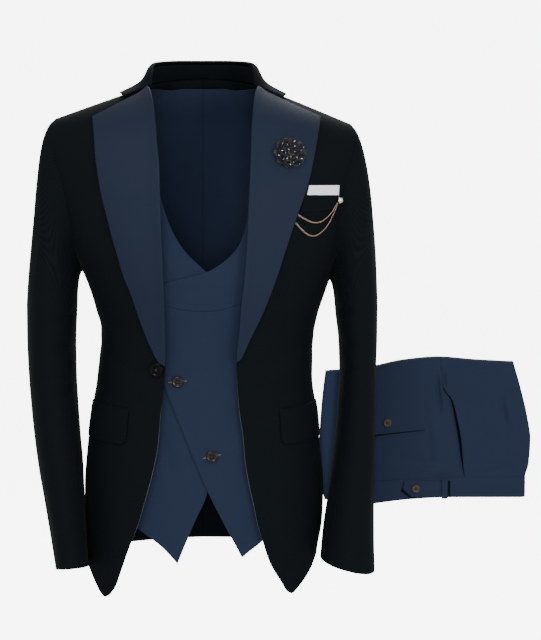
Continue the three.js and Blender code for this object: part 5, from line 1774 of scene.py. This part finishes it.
class SUIT_OT_sleeves(PieceOperator, bpy.types.Operator):
    """Cuts the top sleeves and under sleeves"""

    bl_idname = "suit.sleeves"
    bl_label = "Sleeves"

    def execute(self, context):
        fine, _ = steps(context)
        hind = lerp(BACK_SEAM_TURN, FULL_TURN - TOP_OF_OVAL, 2 / 6)
        halves = {"top": (hind - FULL_TURN, FRONT_SEAM_TURN), "under": (FRONT_SEAM_TURN, hind)}
        for side in SIDES:
            for part, (first, last) in halves.items():
                node = f"jacket_{part}_sleeve_{side.name}"
                grid = sleeve_grid(side, first, last, fine)
                cloth(f"{node}_cloth", grid, 0.0, -JACKET_WALL, MATERIALS["black worsted"], "black_worsted", node)
        return {"FINISHED"}


class SUIT_OT_waistcoat(PieceOperator, bpy.types.Operator):
    """Cuts the crossed fronts and the backs of the waistcoat"""

    bl_idname = "suit.waistcoat"
    bl_label = "Waistcoat"

    def execute(self, context):
        fine, broad = steps(context)
        navy = MATERIALS["navy worsted"]
        fronts = {
            "vest_front_left_skirt": vest_skirt_grid(fine),
            "vest_front_left_yoke": vest_front_grid(LEFT, YOKE_EDGE, waist_seam_level, 0, 11 / 12, no_lap, fine),
            "vest_front_right": vest_front_grid(RIGHT, RIGHT_VEST_EDGE, right_hem, 0.5, 16 / 17, under_lap, fine),
        }
        crown = lerp(VEST_SIDE, FULL_TURN - TOP_OF_OVAL, 4 / 5)
        backs = {
            f"vest_back_{side.name}": back_grid(
                side, side.vest_armhole, VEST_SIDE, crown, side.vest_hem, 2, vest_depth, broad, vest_relief
            )
            for side in SIDES
        }
        for node, grid in {**fronts, **backs}.items():
            cloth(f"{node}_cloth", grid, 0.0, -VEST_WALL, navy, "navy_worsted", node)
        return {"FINISHED"}


class SUIT_OT_pockets(PieceOperator, bpy.types.Operator):
    """Sews on the hip pocket flaps, the breast welt and the pocket square, and pipes the front edges"""

    bl_idname = "suit.pockets"
    bl_label = "Pockets and piping"

    def execute(self, context):
        fine, _ = steps(context)
        black = MATERIALS["black worsted"]
        for side in SIDES:
            node = f"jacket_flap_{side.name}"
            cloth(
                f"{node}_cloth", flap_grid(side, fine), FLAP.lift + FLAP.wall, FLAP.lift,
                black, "black_worsted", node, gap=0.0,
            )
            vertices, faces = piping_arrays(side)
            piping = make_mesh(f"jacket_edge_piping_{side.name}", vertices, faces, MATERIALS["pale piping"])
            dress(piping, "black_worsted")
        welt = patch_grid(
            ((131, WELT_FOOT - 1), (185, WELT_FOOT + 3)), ((138, WELT_TOP + 1), (185, WELT_TOP)), fine * 0.6, 23, 53
        )
        cloth("jacket_breast_welt_cloth", welt, 2.3, 0.5, black, "black_worsted", "jacket_breast_welt", gap=0.0)
        points, normals = patch_grid(
            ((140, WELT_TOP - 3), (185.5, WELT_TOP - 2)), ((144, -130.8), (186.5, -131.3)), fine * 0.4, 14, 44
        )
        v = np.linspace(0, 1, len(points))[:, None]
        u = np.linspace(0, 1, points.shape[1])[None]
        pressed = 0.45 * np.exp(-(((v - 0.56 - 0.04 * u) / 0.05) ** 2)) + 0.3 * np.exp(-(((v - 0.8) / 0.06) ** 2))
        fold = 0.4 * np.sin(math.pi * u) * v - pressed
        cloth(
            "pocket_square_linen", (points + normals * fold[..., None], normals), 2.0, 0.4,
            MATERIALS["white linen"], "white_linen", "pocket_square", held="folded", gap=0.0,
        )
        return {"FINISHED"}


class SUIT_OT_buttons(PieceOperator, bpy.types.Operator):
    """Turns the buttons, sews them on and works their buttonholes"""

    bl_idname = "suit.buttons"
    bl_label = "Buttons"

    def execute(self, context):
        place = on_chest(*JACKET_BUTTON)
        sew_button("jacket_button", JACKET_BUTTON_SIZE, place, 1.0, "black horn", "dark_horn")
        for i, (x, z, tilt) in enumerate(VEST_BUTTONS, 1):
            point, normal = on_chest(x, z, vest_relief)
            place = (point - normal * VEST_DEPTH, normal)
            sew_button(f"vest_button_{i}", VEST_BUTTON_SIZE, place, 1.2, "dark horn", "dark_horn")
            hole = buttonhole_arrays(VEST_BUTTONHOLE, tilt)
            set_on_cloth(f"vest_buttonhole_{i}", hole, place, 0.1, "brown silk", "dark_horn")
        return {"FINISHED"}


class SUIT_OT_ornaments(PieceOperator, bpy.types.Operator):
    """Makes the lapel flower, and the stud with its two swags of chain"""

    bl_idname = "suit.ornaments"
    bl_label = "Flower and chain"

    def execute(self, context):
        place = on_chest(FLOWER.x, FLOWER.z)
        lift = LAPEL_LIFT + LAPEL_WALL
        petals = petals_arrays()
        set_on_cloth("lapel_flower_petals", petals, place, lift, "black ribbon", "black_ribbon", "lapel_flower")
        set_on_cloth("lapel_flower_beads", beads_arrays(), place, lift, "pale bead", "white_linen")
        ball, place = ball_arrays(STUD.radius, 0.75, 16, 48, lobes=6, lobe_height=0.06), on_chest(*STUD.place)
        set_on_cloth("chain_stud_gilt", ball, place, STUD.lift, "pale gold", "gilt_chain", "chain_stud")
        for node, seen_points in SWAGS.items():
            vertices, faces = chain_arrays(seen_points)
            dress(make_mesh(f"{node}_links", vertices, faces, MATERIALS["gilt"]), "gilt_chain", node)
        return {"FINISHED"}


class SUIT_OT_trousers(PieceOperator, bpy.types.Operator):
    """Folds the trousers and sews their waistband, tab, loop, pockets and buttons"""

    bl_idname = "suit.trousers"
    bl_label = "Trousers"

    def execute(self, context):
        fine, _ = steps(context)
        navy = MATERIALS["navy worsted"]
        sewn = {
            "back_panel": (hip_grid(lambda up: LEFT_END, side_seam, fine, under_mouth), 0.0, -CLOTH),
            "front_panel": (hip_grid(side_seam, right_edge, fine, open_mouth), 0.0, -CLOTH),
            "waistband": (band_grid(fine), 0.0, -BAND_WALL),
            "tab": (sewn_grid(*SEWN["tab"]), 2.2, 0.5),
            "belt_loop": (sewn_grid(*SEWN["belt_loop"]), 2.9, 0.5),
            "back_pocket_welt": (sewn_grid(*SEWN["back_pocket_welt"]), 1.1, 0.3),
        }
        for part, (grid, outer, inner) in sewn.items():
            node = f"trousers_{part}"
            cloth(f"{node}_cloth", grid, outer, inner, navy, "navy_worsted", node, held="folded", bulge=0.5)
        # Painted shadow: near-black strips of black cloth that stand for the shade in the side pocket's mouth, the
        # back pocket's slit, under the tab's point and in the slot beside the loop
        painted_shadow_strips = {
            "side_pocket_painted_shadow": (mouth_shadow_strip_grid(fine), 0.0, -0.6),
            "back_pocket_painted_shadow": (sewn_grid(*SEWN["back_pocket_painted_shadow"]), 0.45, 0.1),
            "tab_painted_shadow": (sewn_grid(*SEWN["tab_painted_shadow"]), 0.5, 0.1),
            "loop_painted_shadow": (sewn_grid(*SEWN["loop_painted_shadow"]), 0.5, 0.1),
        }
        black = MATERIALS["black worsted"]
        for part, (grid, outer, inner) in painted_shadow_strips.items():
            cloth(f"trousers_{part}", grid, outer, inner, black, "black_worsted", held="folded", gap=0.0)
        for node, outline, start, end, pinch in (
            ("trousers_hip_layers", HIPS, FACE + 3.1, FACE + 20.6, 3.2),
            ("trousers_leg_layers", LEGS, FACE + 21, FACE + 40, 3.6),
        ):
            vertices, faces = folded_arrays(outline, start, end, 2, pinch)
            layers = make_mesh(f"{node}_cloth", vertices, faces, navy, layer_places(vertices))
            dress(layers, "navy_worsted", node)
        facing = np.array([0.0, -1, 0])
        for node, point, lift in (
            ("trousers_tab_button", band_spot(305.0, -570.0), 2.6),
            ("trousers_back_pocket_button", hip_spot(263.7, -475.0), 0.6),
        ):
            sew_button(node, TROUSER_BUTTON_SIZE, (point, facing), lift, "grey horn", "grey_horn", around=48)
        return {"FINISHED"}


STAGE_FLOOR = ((1.0, -1.15), (3.0, -1.15), (6.0, -1.15))  # metres: distance from the middle, height
STAGE_BEND = 1.5
STAGE_TOP = 2.4
PAPER_GLOW = 6.0
WORLD_LIGHT = 0.8
TARGET = Vector((0, 0, -0.322))  # what the camera and the lamps are turned to
LAMPS = (  # name, place, size and power
    ("key light", (-1.1, -3.3, 1.7), 1.5, 50),
    ("fill light", (2.3, -3.1, 0.3), 1.8, 46),
    ("front light", (0.05, -3.6, -0.15), 0.7, 54),
    ("back light", (0.6, 2.9, 2.2), 2.0, 100),
    ("leg light", (0.05, -3.6, -0.15), 0.5, 155),
)


class SUIT_OT_stage(PieceOperator, bpy.types.Operator):
    """Lays the pale floor and backdrop, the soft lights and the camera"""

    bl_idname = "suit.stage"
    bl_label = "Stage"

    def execute(self, context):
        scene = context.scene
        profile = np.array(STAGE_FLOOR, float)
        bend = np.linspace(0, math.pi / 2, 15)[1:]
        start, low = profile[-1]
        curve = np.stack([start + STAGE_BEND * np.sin(bend), low + STAGE_BEND * (1 - np.cos(bend))], -1)
        profile = np.concatenate([profile, curve, [(start + STAGE_BEND, STAGE_TOP)]])
        turn = np.arange(96)[None] * FULL_TURN / 96
        rings = stacked(profile[:, :1] * np.cos(turn), profile[:, :1] * np.sin(turn), profile[:, 1:])
        vertices, faces = round_arrays(rings, np.array([0, 0, low]), np.array([0, 0, low]))
        faces = faces[faces.max(1) != len(vertices) - 1]
        w, shader = start_material("studio paper", Roughness=0.9, Emission_Strength=PAPER_GLOW)
        shader.inputs["Emission Color"].default_value = (1, 1, 1, 1)
        mottle = use_group(w, "mottle", Place=w.node("ShaderNodeTexCoord").outputs["Object"], Patches=1.2)
        w.feed(shader.inputs["Base Color"], w.mix(mottle["Patch"], (0.9, 0.9, 0.9, 1), (0.93, 0.93, 0.93, 1)))
        floor = make_mesh("studio_floor", vertices / MM, faces, MATERIALS["studio paper"], turn_out=False)
        floor.visible_diffuse = False
        floor.visible_glossy = False

        world = bpy.data.worlds.new("studio light")
        world.use_nodes = True
        world.node_tree.nodes["Background"].inputs["Color"].default_value = (1, 1, 1, 1)
        world.node_tree.nodes["Background"].inputs["Strength"].default_value = WORLD_LIGHT
        scene.world = world
        for name, place, size, power in LAMPS:
            light = bpy.data.lights.new(name, "AREA")
            light.energy = power
            light.size = size
            lamp = bpy.data.objects.new(name, light)
            lamp.location = place
            lamp.rotation_euler = (TARGET - Vector(place)).to_track_quat("-Z", "Y").to_euler()
            lamp.visible_camera = False
            lamp.visible_glossy = name not in ("front light", "leg light")
            if name == "leg light":  # lights the folded legs alone, which stand deep between the hip and the sleeve
                legs = bpy.data.collections.new("folded legs")
                legs.objects.link(bpy.data.objects["trousers_leg_layers_cloth"])
                lamp.light_linking.receiver_collection = legs
            scene.collection.objects.link(lamp)

        place_camera(scene)
        return {"FINISHED"}


CAMERA_DISTANCE = 3.5
CAMERA_ELEVATION = math.radians(5)
MM_PER_PIXEL = 1.4  # at the target
PICTURE = (541, 640)
TARGET_PIXEL = (203, 320)


def place_camera(scene):
    """The camera stands in front, a little above, and its shift puts the suit where the photo has it."""
    camera = bpy.data.cameras.new("camera")
    tall = PICTURE[1] * MM_PER_PIXEL * MM
    camera.sensor_fit = "VERTICAL"
    camera.sensor_height = 24
    camera.lens = 24 * CAMERA_DISTANCE / tall
    camera.shift_x = (PICTURE[0] / 2 - TARGET_PIXEL[0]) / max(PICTURE)
    camera.clip_end = 50
    obj = bpy.data.objects.new("camera", camera)
    away = Vector((0, -math.cos(CAMERA_ELEVATION), math.sin(CAMERA_ELEVATION)))
    obj.location = TARGET + away * CAMERA_DISTANCE
    obj.rotation_euler = (TARGET - obj.location).to_track_quat("-Z", "Y").to_euler()
    scene.collection.objects.link(obj)
    scene.camera = obj


class SUIT_PT_panel(bpy.types.Panel):
    """Lists the pieces of the suit"""

    bl_idname = "SUIT_PT_panel"
    bl_label = "Dinner suit"
    bl_space_type = "VIEW_3D"
    bl_region_type = "UI"
    bl_category = "Dinner suit"

    def draw(self, context):
        for group in (context.scene.suit_sizes, context.scene.suit_colours):
            for name in group.__annotations__:
                self.layout.prop(group, name)
        for operator in OPERATORS:
            self.layout.operator(operator.bl_idname)


OPERATORS = (
    SUIT_OT_materials,
    SUIT_OT_jacket_body,
    SUIT_OT_lapels,
    SUIT_OT_collar,
    SUIT_OT_sleeves,
    SUIT_OT_pockets,
    SUIT_OT_waistcoat,
    SUIT_OT_buttons,
    SUIT_OT_ornaments,
    SUIT_OT_trousers,
    SUIT_OT_stage,
)
CLASSES = (SuitSizes, SuitColours, *OPERATORS, SUIT_PT_panel)


def register():
    for made in CLASSES:
        bpy.utils.register_class(made)
    bpy.types.Scene.suit_sizes = bpy.props.PointerProperty(type=SuitSizes)
    bpy.types.Scene.suit_colours = bpy.props.PointerProperty(type=SuitColours)


def unregister():
    del bpy.types.Scene.suit_colours
    del bpy.types.Scene.suit_sizes
    for made in reversed(CLASSES):
        bpy.utils.unregister_class(made)


def main():
    register()
    for operator in OPERATORS:
        group, name = operator.bl_idname.split(".")
        getattr(getattr(bpy.ops, group), name)()
    bpy.context.view_layer.update()


if __name__ == "__main__":
    main()
